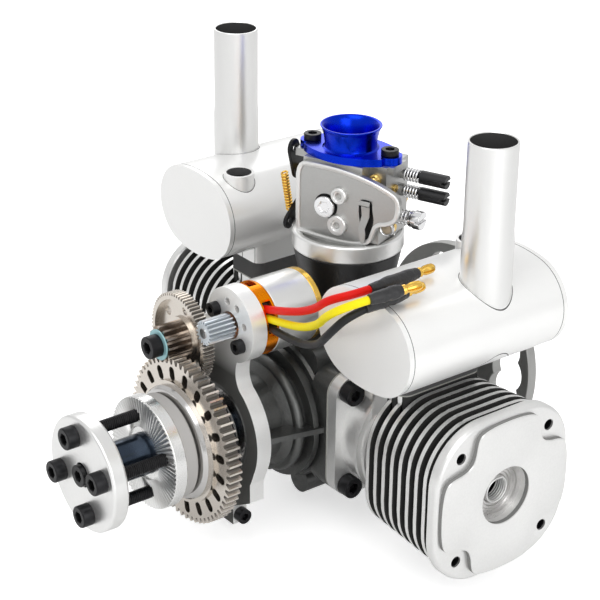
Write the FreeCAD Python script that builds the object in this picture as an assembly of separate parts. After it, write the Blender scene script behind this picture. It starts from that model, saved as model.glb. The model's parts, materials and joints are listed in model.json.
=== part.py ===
import FreeCAD, Part
import math
import os

# Flat-twin two-stroke aircraft engine with a geared electric starter, in millimetres.
# X runs along the cylinders, Y along the crank (propeller at -Y), Z is up.
# The origin is the crank axis at the rear mounting face.

V = FreeCAD.Vector
X_AXIS = V(1, 0, 0)
Y_AXIS = V(0, 1, 0)
Z_AXIS = V(0, 0, 1)
SIDES = {"right": 1, "left": -1}
GAP = 0.3               # clearance between pieces that don't touch
RUNNING_FIT = 0.05      # radial play of a shaft in its bore
SCREW_FIT = 0.1         # radial play of a screw in its hole

# Cylinders and crank throw
MID_Y = -63.2           # middle of the two cylinders along the crank
STAGGER = 17.0          # distance along the crank between the cylinder axes
RIGHT_Y = MID_Y - STAGGER / 2
LEFT_Y = MID_Y + STAGGER / 2
BORE_R = 18.0
STROKE = 30.0
THROW = STROKE / 2
ROD_LENGTH = 56.0
ROD_T = 8.0
BIG_END_R = 11.0
SMALL_END_R = 7.5
PIN_R = 7.0
PISTON_PIN_R = 4.5
PISTON_PIN_BORE_R = 2.8
PISTON_PIN_HALF = 15.0
PISTON_LENGTH = 30.0
CROWN_T = 5.0
CASE_HALF_X = 30.0      # crank axis to the cylinder seat
GASKET_T = 0.8
BASE_HALF = 25.5        # half side of the square cylinder base
BASE_T = 5.0
BASE_CORNER_R = 8.0
BASE_SCREW_LENGTH = 14.0
BASE_SCREW_HEAD_H = 5.0
BASE_SCREW_AT = BASE_HALF - 5.5     # base screw offset along Y and Z
CORNERS = [(a, b) for a in (-1, 1) for b in (-1, 1)]
BARREL_R = 23.0
SPIGOT_R = 20.5
SPIGOT_LENGTH = 8.0
RIDGE_FIRST_X = 46.5
RIDGE_PITCH = 4.6
RIDGE_T = 1.5
RIDGE_HEIGHT = 2.2
FIN_COUNT = 8
FIN_FIRST_X = 59.2
FIN_PITCH = 4.75
FIN_T = 1.9
FIN_HALF = 30.5
FIN_TAPER = 1.5         # the fin at the base is smaller by this
FIN_CORNER_R = 15.0
HEAD_X = 98.8           # front face of the head plate
HEAD_T = 3.2
HEAD_HALF = 32.0
HEAD_HOLE_AT = 21.2
HEAD_HOLE_R = 2.2
HEAD_HOLE_DEPTH = 3.0
PAD_X = 102.7           # face of the raised head pad
PAD_HALF = 30.0
PAD_CORNER_R = 5.0
PAD_NOTCH_AT = HEAD_HOLE_AT * 1.16
PAD_NOTCH_R = 8.2
PLUG_RECESS_R = 11.4
PLUG_RECESS_DEPTH = 4.6
PLUG_BORE_R = 5.0
CHAMBER_TOP_X = 92.0    # roof of the cylinder bore

# Exhaust
EXHAUST_GASKET_T = 0.6
MUFFLER_X = 66.4
MUFFLER_Z = 58.5
MUFFLER_HALF_W = 25.3
MUFFLER_HALF_H = 18.2
MUFFLER_END_R = 17.3    # radius of the oval's narrow ends
MUFFLER_LENGTH = 75.0
MUFFLER_SHIFT = 1.3     # muffler middle ahead of its cylinder axis
MUFFLER_WALL = 1.5
CAP_T = 2.2
PIPE_X = 79.7
PIPE_SHIFT = 7.0        # pipe behind the muffler middle
PIPE_R = 9.0            # sized end that takes a hose
PIPE_SHOULDER = 0.3     # step below the sized end
PIPE_BODY_R = PIPE_R + PIPE_SHOULDER
PIPE_END_LENGTH = 34.0
PIPE_WALL = 1.0
PIPE_TOP_Z = 127.5
STUB_INBOARD = 27.0     # pressure stub from the pipe, towards the carburettor
STUB_SHIFT = 18.0       # pressure stub from the pipe, along the crank
STUB_R = 6.2
STUB_BORE_R = 4.8
STUB_HEIGHT = 2.6
PORT_X = 56.5
PORT_HALF_X = 10.0
PORT_HALF_Y = 19.0
PORT_Z = 29.5           # face between cylinder and exhaust block
PORT_BORE_R = 7.0
PORT_BORE_X = PORT_X + 1
PORT_CORNER_R = 4.0
PORT_SCREW_AT = 14.0
PORT_SCREW_R = 1.6
PORT_SCREW_DEPTH = 7.0
PORT_SCREW_HOLE_R = 1.9
PORT_SCREW_HEAD_R = 2.8
PORT_SCREW_HEAD_H = 3.0
PORT_FLANGE_T = 5.0

# Crankcase
CASE_R = CASE_HALF_X - 1.0
CASE_PAD_T = 9.0        # depth of the pads that the cylinders stand on
CHAMBER_R = 26.0
CASE_FRONT = -95.2      # shoulder of the round body
CASE_REAR = -32.0
CHAMBER_FRONT = -87.0
CHAMBER_REAR = -40.0
CASE_OPENING_R = 20.8   # round the cylinder spigot
NOSE_R = 18.6
NOSE_FRONT = -125.0
SEAT_R = 20.2           # shoulder that the starter plate stands against
NECK_R = 18.0
COLLAR_R = 22.0
COLLAR_BEAD_R = 2.3
FRONT_FLANGE_R = 27.2
FRONT_FLANGE_Y = -100.8
GROOVE_R = 25.5
RIB_TOP_Z = 3.0
RIB_T = 2.2
RIB_IN_X = 14.0
RIB_OUT_X = 23.8
REAR_BOSS_R = 20.0
REAR_BOSS_END = -14.0
CASE_SCREW_LOW = (10.9, -BASE_HALF - 3.1)
CASE_SCREW_HIGH = (16.0, BASE_HALF + 0.3)
CASE_SCREW_LENGTH = 46.0
CASE_LUG_R = 5.6
INTAKE_SEAT_Z = CASE_SCREW_HIGH[1] + CASE_LUG_R + 0.6     # just above the upper lugs
STANDOFF_R = 5.5
STANDOFF_AT = 17.0

# Crankshaft and propeller drive
SHAFT_R = 8.0
WEB_R = 23.5
WEB_T = 8.0
CRANK_MAIN_END = -77.2  # rear face of the turning front web
BEARING_R = 16.0
BEARING_T = 9.0
BEARING_STARTS = (NOSE_FRONT + 0.8, CHAMBER_FRONT - BEARING_T - 1, CASE_REAR)
PLATE_FRONT = -187.0
PLATE_T = 6.5
PLATE_R = 22.5
BOLT_CIRCLE_R = 15.0
BOLT_ANGLE = 16.0
BOLT_R = 2.5
BOLT_HEAD_R = 4.25
BOLT_HEAD_H = 4.7
HUB_FRONT = -160.6
HUB_R = 22.0
HUB_FLANGE_T = 5.6
HUB_BODY_R = 20.6
HUB_BODY_END = -149.0
HUB_SLEEVE_R = 12.5

# Starter gears
RING_MODULE = 1.0
RING_TEETH = 64
RING_FRONT = -144.1
RING_T = 5.6
RING_BORE_R = 22.5
SHIELD_T = 0.9
SLOT_COUNT = 20
SLOT_CIRCLE_R = 26.9
PINION_TEETH = 12
IDLER_ANGLE = 107.4     # idler above the crank, from +X
WHEEL_MODULE = 0.5
WHEEL_TEETH = 70
WHEEL_FRONT = -136.7
WHEEL_T = 4.8
WHEEL_RECESS_R = 15.4
WHEEL_RECESS_DEPTH = 2.4
WHEEL_HUB_R = 8.4
WHEEL_HOLE_R = 1.8
WHEEL_HOLE_CIRCLE_R = 12.0
PINION_FRONT = RING_FRONT - 0.6
SHOULDER_R = 3.0        # idler screw's journal
IDLER_THREAD_R = 2.5
MOTOR_TEETH = 17
MOTOR_ANGLE = 28.0      # motor beside the idler, from +X

# Starter plate and motor
CLAMP_FRONT = -125.9
CLAMP_T = 6.5
CLAMP_R = 25.0
LOBE_R = 14.6
MOTOR_R = 14.2
MOTOR_SHAFT_R = 2.0
MOTOR_FRONT = CLAMP_FRONT + CLAMP_T
BELL_END = MOTOR_FRONT + 5.6
CAN_END = BELL_END + 18.6
MOTOR_BACK = CAN_END + 2.5
CAN_BORE_R = 12.6
MOTOR_HUB_R = 4.0
MOTOR_WINDOW_HALF = 6.8
MOTOR_PINION_FRONT = WHEEL_FRONT - 1.1
MOTOR_PINION_LENGTH = 11.4
MOTOR_SCREW_R = 1.5
MOTOR_SCREW_CIRCLE_R = 9.2
PINCH_LUG_X = 9.0
PINCH_LUG_TOP = -31.0
PINCH_LUG_END = -39.5
PINCH_Z = -35.5
PINCH_SCREW_R = 1.7
PINCH_SLIT_HALF = 0.9
LOWER_CORNER = (20.2, -24.5)
RIGHT_EDGE = ((13.5, 35.5), (11.3, 30), (11.4, 25), (15.9, 18.4), (21.5, 11.8), (24.5, 2.5), (23.7, -7),
              (20.2, -16.5))
LEFT_EDGE = ((-20.2, -16.5), (-24.6, 0), (-23, 10), (-20, 24), (-19.5, 34), (-15, 41), (-6, 46), (2, 58))
MOTOR_HOLE_ANGLES = (155, -38, 100, 62, 15, -125)   # the first two carry screws

# Intake and carburettor
CARB_TURN = 22.0        # carburettor turned about Z
CARB_Y = -63.8
TRAY_Z = 61.5
TRAY_T = 7.0
TRAY_FLOOR = TRAY_Z + 2.0
TRAY_TOP = TRAY_Z + TRAY_T
TRAY_R = 21.8
TRAY_V = -0.8           # tray centre, ahead of the throat
TRAY_WALL = 2.6
MANIFOLD_HALF = 18.0
MANIFOLD_CORNER_R = 9.0
MANIFOLD_BORE_HALF = 11.0
MANIFOLD_TOP = 43.0
REED_T = 2.0
REED_HALF_X = 9.0
REED_HALF_Y = 10.0
REED_DEPTH = 9.0
REED_WALL = 1.6
INSULATOR_Z = MANIFOLD_TOP + REED_T
THROAT_R = 8.0
BODY_LEFT = -14.0
BODY_RIGHT = 19.0
BODY_FRONT = -11.5
BODY_REAR = 11.0
BODY_TOP = 98.0
FUEL_U = 13.0
FUEL_Z = 76.0
FUEL_TUBE_R = 2.0
FUEL_BORE_R = 0.6
FUEL_TUBE_LENGTH = 9.0
FUEL_SEAT_R = 1.2
FUEL_SEAT_DEPTH = 4.0
EAR_AT = 16.8
EAR_SCREW_R = 1.7
EAR_R = 4.7
EAR_T = 3.0
CHOKE_Z = 88.0
THROTTLE_Z = 72.0
SPINDLE_R = 1.5
NEEDLE_R = 1.2
NEEDLE_V = 6.0
NEEDLE_ZS = {"needle_high": 92.2, "needle_low": 85.5}
NEEDLE_BOSS_END = 20.5
NEEDLE_CAP_R = 2.65
NEEDLE_CAP_START = 27.4
NEEDLE_CAP_LENGTH = 11.0
NEEDLE_SPRING_R = 2.7
IDLE_V = -4.0
IDLE_Z = 79.1
IDLE_BOSS_END = 22.0
IDLE_SPRING_R = 3.0
IDLE_HEAD_R = 3.6
IDLE_HEAD_START = 30.3
IDLE_HEAD_T = 3.3
COVER_T = 2.5
COVER_SCREW_AT = (-2.8, 80.7)
COVER_SCREW_R = 1.6
COVER_SCREW_GRIP = 4.5  # thread in the body
COVER_SCREW_HEAD_R = 4.2
COVER_SCREW_HEAD_H = 1.4
COVER_EDGE = ((17, 69.6), (18, 76), (24.5, 78), (26.7, 80.5), (28.4, 83), (28.6, 88.8), (26.8, 91.1),
              (21.3, 93.2), (14.4, 95.2), (3, 97))
COVER_LEFT = -15.9
COVER_TONGUE = (-12.0, 11.0, 66.0)      # left, right and foot of the tongue inside the tray
COVER_POCKET = (11.4, 16.6, 70.5, 86.0)     # left, right, foot and top
COVER_POCKET_DEPTH = 1.6
COVER_BOSS_HEIGHT = 1.2
COVER_BOSS_BORE_R = 1.4
COVER_BOSSES = ((3.1, 86.1, 3.3), (2.5, 74.1, 4.0))     # u, z and radius
ARM_U = -23.6
ARM_T = 1.3
LEVER_HOLE_R = 1.3
LEVER_HOLE = (-7.3, 68.0)
CHOKE_HOLE = (-3.9, 97.2)
STACK_FLANGE_T = 3.0
STACK_FLANGE_R = 12.4
STACK_SCREW_HOLE_R = 1.8
STACK_SCREW_HEAD_R = 3.4
STACK_SCREW_HEAD_H = 2.3
STACK_TOP_Z = 110.0
STACK_WALL_R = 10.4
STACK_RIM_R = 11.8

# Motor leads
LEAD_R = 1.5
SLEEVE_R = 2.5
SLEEVE_OVERLAP = 8.0
SLEEVE_FROM_BEND = 5.8
BULLET_R = 1.75
BULLET_LENGTH = 7.5
LEADS = {
    "red": ((16.7, -116.55, 53.8), (34, -118.2, 59.5), (49, -119.0, 66.5), (60.5, -122, 75.5),
            (69, -115.8, 79.4), (68.2, -88, 79.6)),
    "yellow": ((18.6, -116.55, 50.82), (38, -118.4, 55.0), (55, -121.8, 63.5), (67.5, -128, 74.0),
               (79, -125.5, 82.0), (82.6, -107.5, 83.6)),
    "black": ((19.41, -116.55, 47.42), (40, -119.0, 49.5), (57, -123.0, 57.0), (69, -129, 67.0),
              (76.5, -124.5, 77.2), (77.6, -101.0, 79.2)),
}

# Rear plate
REAR_PLATE_R = 43.9
REAR_PLATE_T = 4.5
MOUNT_CIRCLE_R = 34.0
MOUNT_HOLE_R = 2.6
REAR_BORE_R = 14.0
SCALLOP_R = 8.4
SCALLOP_CIRCLE_R = 31.4
COUNTERBORE_DEPTH = 2.8

os.makedirs("parts", exist_ok=True)


def save(name, solids):
    """Write one node; a list of solids becomes a group."""
    shape = solids if isinstance(solids, Part.Shape) else Part.makeCompound(solids)
    shape.exportStep("parts/" + name + ".step")
    print(name, len(shape.Solids), round(shape.Volume), shape.isValid())


def rod(radius, start, end, x=0.0, z=0.0):
    """A cylinder along Y from start to end."""
    return Part.makeCylinder(radius, end - start, V(x, start, z), Y_AXIS)


def ring(outer, inner, start, end, x=0.0, z=0.0):
    """A tube along Y."""
    return rod(outer, start, end, x, z).cut(rod(inner, start - 1, end + 1, x, z))


def upright(radius, low, high, x, y):
    """A cylinder along Z."""
    return Part.makeCylinder(radius, high - low, V(x, y, low), Z_AXIS)


def turned(profile, x=0.0, z=0.0):
    """Revolve (radius, y) points about the Y axis through x, z."""
    points = [V(x + r, y, z) for r, y in profile]
    face = Part.Face(Part.makePolygon(points + points[:1]))
    return face.revolve(V(x, 0, z), Y_AXIS, 360)


def plate(points, start, thickness):
    """Extrude an outline given in X and Z along Y."""
    corners = [V(x, start, z) for x, z in points]
    return Part.Face(Part.makePolygon(corners + corners[:1])).extrude(Y_AXIS * thickness)


def slab(half_a, half_b, corner, low_x, thickness):
    """Rounded rectangular plate facing X, centred on the X axis."""
    box = Part.makeBox(thickness, 2 * half_a, 2 * half_b, V(low_x, -half_a, -half_b))
    edges = [e for e in box.Edges if e.BoundBox.XLength > thickness / 2 and e.BoundBox.YLength < 1e-6]
    return box.makeFillet(corner, [e for e in edges if e.BoundBox.ZLength < 1e-6])


def around(radius, degrees):
    """A point on a circle, as two coordinates."""
    angle = math.radians(degrees)
    return radius * math.cos(angle), radius * math.sin(angle)


def cap_screw(radius, length, head_r, head_h, seat, direction):
    """Socket screw: the head stands on seat, against direction, and the shank runs along it."""
    direction = V(direction).normalize()
    head = Part.makeCylinder(head_r, head_h, seat - direction * head_h, direction)
    shank = Part.makeCylinder(radius, length, seat, direction)
    hexagon = [V(*around(head_r * 0.55, 60 * i), 0) for i in range(6)]
    socket = Part.Face(Part.makePolygon(hexagon + hexagon[:1])).extrude(V(0, 0, head_h * 0.55))
    socket.Placement = FreeCAD.Placement(seat - direction * head_h, FreeCAD.Rotation(Z_AXIS, direction))
    return head.fuse(shank).cut(socket).removeSplitter()


def gear(module, teeth, start, thickness, x, z, turn=0.0):
    """Spur gear blank with straight-flanked teeth, axis along Y."""
    pitch_r = module * teeth / 2
    step = 2 * math.pi / teeth
    points = []
    for tooth in range(teeth):
        middle = math.radians(turn) + tooth * step
        for radius, share in ((pitch_r - 1.2 * module, -0.33), (pitch_r + module, -0.12),
                              (pitch_r + module, 0.12), (pitch_r - 1.2 * module, 0.33)):
            angle = middle + share * step
            points.append((x + radius * math.cos(angle), z + radius * math.sin(angle)))
    return plate(points, start, thickness)


def mirrored(shape, side):
    """The left-hand assembly is the right-hand one turned half round about the middle."""
    if side == 1:
        return shape
    copy = shape.copy()
    copy.rotate(V(0, MID_Y, 0), Z_AXIS, 180)
    return copy


def rounded_column(half_x, half_y, corner, low, high, x=0.0, y=0.0):
    """Upright rectangular column with rounded corners."""
    box = Part.makeBox(2 * half_x, 2 * half_y, high - low, V(x - half_x, y - half_y, low))
    return box.makeFillet(corner, [e for e in box.Edges if e.BoundBox.ZLength > (high - low) / 2])


def port_block(low, high, y):
    """Exhaust block of a right-hand cylinder, on its port's footprint."""
    return rounded_column(PORT_HALF_X, PORT_HALF_Y, PORT_CORNER_R, low, high, PORT_X, y)


def base_screw_pockets(seat_x):
    """Room for the base screws' heads, where the barrel reaches into it."""
    ends = [V(seat_x, a * BASE_SCREW_AT, b * BASE_SCREW_AT) for a, b in CORNERS]
    return [Part.makeCylinder(BOLT_HEAD_R + GAP, BASE_SCREW_HEAD_H + GAP, at, X_AXIS) for at in ends]


def cut_reaching(body, pockets):
    """Cut those pockets that take something away."""
    reaching = [pocket for pocket in pockets if body.common(pocket).Volume > 1e-6]
    return body.cut(reaching) if reaching else body


def make_cylinder():
    """Finned barrel with its head in one casting, for the right-hand side."""
    base_x = CASE_HALF_X + GASKET_T
    body = slab(BASE_HALF, BASE_HALF, BASE_CORNER_R, base_x, BASE_T)
    body = body.fuse(Part.makeCylinder(BARREL_R, HEAD_X - base_x - 1, V(base_x, 0, 0), X_AXIS))
    body = body.fuse(Part.makeCylinder(SPIGOT_R, SPIGOT_LENGTH, V(base_x - SPIGOT_LENGTH, 0, 0), X_AXIS))
    for ridge in range(2):
        ridge_x = RIDGE_FIRST_X + RIDGE_PITCH * ridge
        body = body.fuse(Part.makeCylinder(BARREL_R + RIDGE_HEIGHT, RIDGE_T, V(ridge_x, 0, 0), X_AXIS))
    for fin in range(FIN_COUNT):
        half = FIN_HALF - FIN_TAPER + FIN_TAPER * fin / (FIN_COUNT - 1)
        body = body.fuse(slab(half, half, FIN_CORNER_R, FIN_FIRST_X + fin * FIN_PITCH - FIN_T / 2, FIN_T))
    body = body.fuse(slab(HEAD_HALF, HEAD_HALF, FIN_CORNER_R, HEAD_X - HEAD_T, HEAD_T))
    pad = slab(PAD_HALF, PAD_HALF, PAD_CORNER_R, HEAD_X - 1, PAD_X - HEAD_X + 1)
    for a, b in CORNERS:
        centre = V(HEAD_X, a * PAD_NOTCH_AT, b * PAD_NOTCH_AT)
        pad = pad.cut(Part.makeCylinder(PAD_NOTCH_R, PAD_X - HEAD_X + 1, centre, X_AXIS))
    body = body.fuse(pad)
    body = body.fuse(port_block(0, PORT_Z, 0))
    bore_start = base_x - SPIGOT_LENGTH - 1
    body = body.cut(Part.makeCylinder(BORE_R, CHAMBER_TOP_X - bore_start, V(bore_start, 0, 0), X_AXIS))
    body = body.cut(Part.makeCylinder(PORT_BORE_R, PORT_Z, V(PORT_BORE_X, 0, 5), Z_AXIS))
    recess_x = PAD_X - PLUG_RECESS_DEPTH
    body = body.cut(Part.makeCylinder(PLUG_RECESS_R, PLUG_RECESS_DEPTH + 1, V(recess_x, 0, 0), X_AXIS))
    plug_start = V(CHAMBER_TOP_X - 1, 0, 0)
    body = body.cut(Part.makeCylinder(PLUG_BORE_R, PAD_X - CHAMBER_TOP_X + 2, plug_start, X_AXIS))
    screw_low = PORT_Z - PORT_SCREW_DEPTH - 1
    for a in (-1, 1):
        body = body.cut(upright(PORT_SCREW_R, screw_low, PORT_Z + 1, PORT_X, a * PORT_SCREW_AT))
    for a, b in CORNERS:
        at = V(HEAD_X - HEAD_HOLE_DEPTH, a * HEAD_HOLE_AT, b * HEAD_HOLE_AT)
        body = body.cut(Part.makeCylinder(HEAD_HOLE_R, PAD_X - HEAD_X + HEAD_HOLE_DEPTH + 1, at, X_AXIS))
        at = V(base_x - 1, a * BASE_SCREW_AT, b * BASE_SCREW_AT)
        body = body.cut(Part.makeCylinder(BOLT_R + SCREW_FIT, BASE_T + 2, at, X_AXIS))
    body = cut_reaching(body, base_screw_pockets(base_x + BASE_T))
    body.translate(V(0, RIGHT_Y, 0))
    return body


for name, side in SIDES.items():
    save("cylinder_" + name, mirrored(make_cylinder(), side))


def make_gasket():
    """Sheet under a right-hand cylinder."""
    sheet = slab(BASE_HALF, BASE_HALF, BASE_CORNER_R, CASE_HALF_X, GASKET_T)
    sheet = sheet.cut(Part.makeCylinder(CASE_OPENING_R, GASKET_T + 1, V(CASE_HALF_X - 0.5, 0, 0), X_AXIS))
    for a, b in CORNERS:
        at = V(CASE_HALF_X - 0.5, a * BASE_SCREW_AT, b * BASE_SCREW_AT)
        sheet = sheet.cut(Part.makeCylinder(BOLT_R + SCREW_FIT, GASKET_T + 1, at, X_AXIS))
    sheet.translate(V(0, RIGHT_Y, 0))
    return sheet


def make_exhaust_gasket():
    """Sheet under a right-hand exhaust block."""
    sheet = port_block(PORT_Z, PORT_Z + EXHAUST_GASKET_T, RIGHT_Y)
    sheet = sheet.cut(upright(PORT_BORE_R, PORT_Z - 1, PORT_Z + 2, PORT_BORE_X, RIGHT_Y))
    for a in (-1, 1):
        at = (PORT_X, RIGHT_Y + a * PORT_SCREW_AT)
        sheet = sheet.cut(upright(PORT_SCREW_HOLE_R, PORT_Z - 1, PORT_Z + 2, *at))
    return sheet


gaskets = []
cylinder_screws = []
for side in SIDES.values():
    gaskets.append(mirrored(make_gasket(), side))
    gaskets.append(mirrored(make_exhaust_gasket(), side))
    for a, b in CORNERS:
        seat = V(CASE_HALF_X + GASKET_T + BASE_T, RIGHT_Y + a * BASE_SCREW_AT, b * BASE_SCREW_AT)
        screw = cap_screw(BOLT_R, BASE_SCREW_LENGTH, BOLT_HEAD_R, BASE_SCREW_HEAD_H, seat, V(-1, 0, 0))
        cylinder_screws.append(mirrored(screw, side))
save("gaskets", gaskets)


def muffler_outline(shrink):
    """Four-arc oval in the XZ plane about the muffler centre."""
    end_r = MUFFLER_END_R - shrink
    half_h = MUFFLER_HALF_H - shrink
    end_x = MUFFLER_HALF_W - MUFFLER_END_R
    big_r = (end_x ** 2 + half_h ** 2 - end_r ** 2) / (2 * (half_h - end_r))
    away = V(end_x, 0, big_r - half_h).normalize()
    right_top = V(end_x, 0, 0) + away * end_r
    x, z = right_top.x, right_top.z
    corners = [right_top, V(x, 0, -z), V(-x, 0, -z), V(-x, 0, z)]
    middles = [V(end_x + end_r, 0, 0), V(0, 0, -half_h), V(-end_x - end_r, 0, 0), V(0, 0, half_h)]
    arcs = [Part.Arc(corners[i], middles[i], corners[(i + 1) % 4]).toShape() for i in range(4)]
    return Part.Face(Part.Wire(arcs))


def muffler_prism(shrink, start, end):
    """Oval bar at the right-hand muffler's place."""
    face = muffler_outline(shrink)
    face.translate(V(MUFFLER_X, start, MUFFLER_Z))
    return face.extrude(V(0, end - start, 0))


def muffler_top(inboard):
    """Height of the muffler's outside at a distance inboard of its pipe."""
    end_x = MUFFLER_HALF_W - MUFFLER_END_R
    offset = max(abs(PIPE_X - inboard - MUFFLER_X) - end_x, 0)
    return MUFFLER_Z + math.sqrt(MUFFLER_END_R ** 2 - offset ** 2)


MUFFLER_Y = RIGHT_Y - MUFFLER_SHIFT
PIPE_Y = MUFFLER_Y + PIPE_SHIFT
STUB_X = PIPE_X - STUB_INBOARD
STUB_Y = PIPE_Y + STUB_SHIFT
EXHAUST_SCREW_Z = PORT_Z + EXHAUST_GASKET_T + PORT_FLANGE_T


def make_muffler():
    """Rolled shell with two welded end caps, a port block and a pressure stub."""
    front = MUFFLER_Y - MUFFLER_LENGTH / 2
    rear = MUFFLER_Y + MUFFLER_LENGTH / 2
    shell_outside = muffler_prism(0, front + CAP_T, rear - CAP_T)
    low = PORT_Z + EXHAUST_GASKET_T
    block = port_block(low, MUFFLER_Z - MUFFLER_HALF_H / 2, RIGHT_Y)
    stub_top = muffler_top(STUB_INBOARD) + STUB_HEIGHT
    stub = upright(STUB_R, MUFFLER_Z, stub_top, STUB_X, STUB_Y)
    shell = shell_outside.fuse([block, stub])
    shell = shell.cut(muffler_prism(MUFFLER_WALL, front + CAP_T - 1, rear - CAP_T + 1))
    shell = shell.cut(upright(PORT_BORE_R, low - 1, MUFFLER_Z, PORT_BORE_X, RIGHT_Y))
    for a in (-1, 1):
        at = (PORT_X, RIGHT_Y + a * PORT_SCREW_AT)
        shell = shell.cut(upright(PORT_SCREW_HOLE_R, low - 1, MUFFLER_Z, *at))
        shell = shell.cut(upright(PORT_SCREW_HEAD_R + 0.4, EXHAUST_SCREW_Z, MUFFLER_Z, *at))
    shell = shell.cut(upright(STUB_BORE_R, MUFFLER_Z - 2, stub_top + 1, STUB_X, STUB_Y))
    shell = shell.cut(upright(PIPE_BODY_R, MUFFLER_Z, PIPE_TOP_Z, PIPE_X, PIPE_Y))
    caps = [muffler_prism(0, front, front + CAP_T), muffler_prism(0, rear - CAP_T, rear)]
    return [shell] + caps


pipes = []
for name, side in SIDES.items():
    save("muffler_" + name, [mirrored(solid, side) for solid in make_muffler()])
    pipe = upright(PIPE_R, MUFFLER_Z - 2, PIPE_TOP_Z, PIPE_X, PIPE_Y)
    pipe = pipe.fuse(upright(PIPE_BODY_R, MUFFLER_Z - 2, PIPE_TOP_Z - PIPE_END_LENGTH, PIPE_X, PIPE_Y))
    pipe = pipe.cut(upright(PIPE_R - PIPE_WALL, MUFFLER_Z - 3, PIPE_TOP_Z + 1, PIPE_X, PIPE_Y))
    pipes.append(mirrored(pipe, side))
    for a in (-1, 1):
        seat = V(PORT_X, RIGHT_Y + a * PORT_SCREW_AT, EXHAUST_SCREW_Z)
        length = EXHAUST_SCREW_Z - PORT_Z + PORT_SCREW_DEPTH
        screw = cap_screw(PORT_SCREW_R, length, PORT_SCREW_HEAD_R, PORT_SCREW_HEAD_H, seat, V(0, 0, -1))
        cylinder_screws.append(mirrored(screw, side))
save("exhaust_pipes", pipes)
save("cylinder_screws", cylinder_screws)


def carb(shape):
    """Move a shape from the carburettor's own frame (u, v, z) to the engine's."""
    shape = shape.copy()
    shape.rotate(V(0, 0, 0), Z_AXIS, CARB_TURN)
    shape.translate(V(0, CARB_Y, 0))
    return shape


def block(low, high):
    """Box between two corners."""
    return Part.makeBox(high[0] - low[0], high[1] - low[1], high[2] - low[2], V(*low))


def case_screw_spots():
    """Screws that hold the case halves together, as x, z and direction of side."""
    return [(side * x, z) for x, z in (CASE_SCREW_LOW, CASE_SCREW_HIGH) for side in SIDES.values()]


def case_body():
    """Turned body of the crankcase: nose, neck, beaded collar, front flange and rear boss."""
    shoulder = CLAMP_FRONT + CLAMP_T
    flange_back = FRONT_FLANGE_Y + 2.4
    body = turned([(0, NOSE_FRONT), (NOSE_R, NOSE_FRONT), (NOSE_R, shoulder), (SEAT_R, shoulder),
                   (SEAT_R, shoulder + 1.5), (NECK_R, shoulder + 2), (NECK_R, FRONT_FLANGE_Y - 8),
                   (COLLAR_R, FRONT_FLANGE_Y - 4.5),
                   (COLLAR_R, FRONT_FLANGE_Y), (FRONT_FLANGE_R, FRONT_FLANGE_Y),
                   (FRONT_FLANGE_R, flange_back),
                   (GROOVE_R, flange_back), (GROOVE_R, flange_back + 2), (CASE_R - 0.8, flange_back + 2),
                   (CASE_R, CASE_FRONT), (CASE_R, CASE_REAR), (REAR_BOSS_R, CASE_REAR + 5),
                   (REAR_BOSS_R, REAR_BOSS_END), (0, REAR_BOSS_END)])
    bead_y = FRONT_FLANGE_Y - COLLAR_BEAD_R - 0.8
    return body.fuse(Part.makeTorus(COLLAR_R - 0.2, COLLAR_BEAD_R, V(0, bead_y, 0), Y_AXIS))


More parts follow.
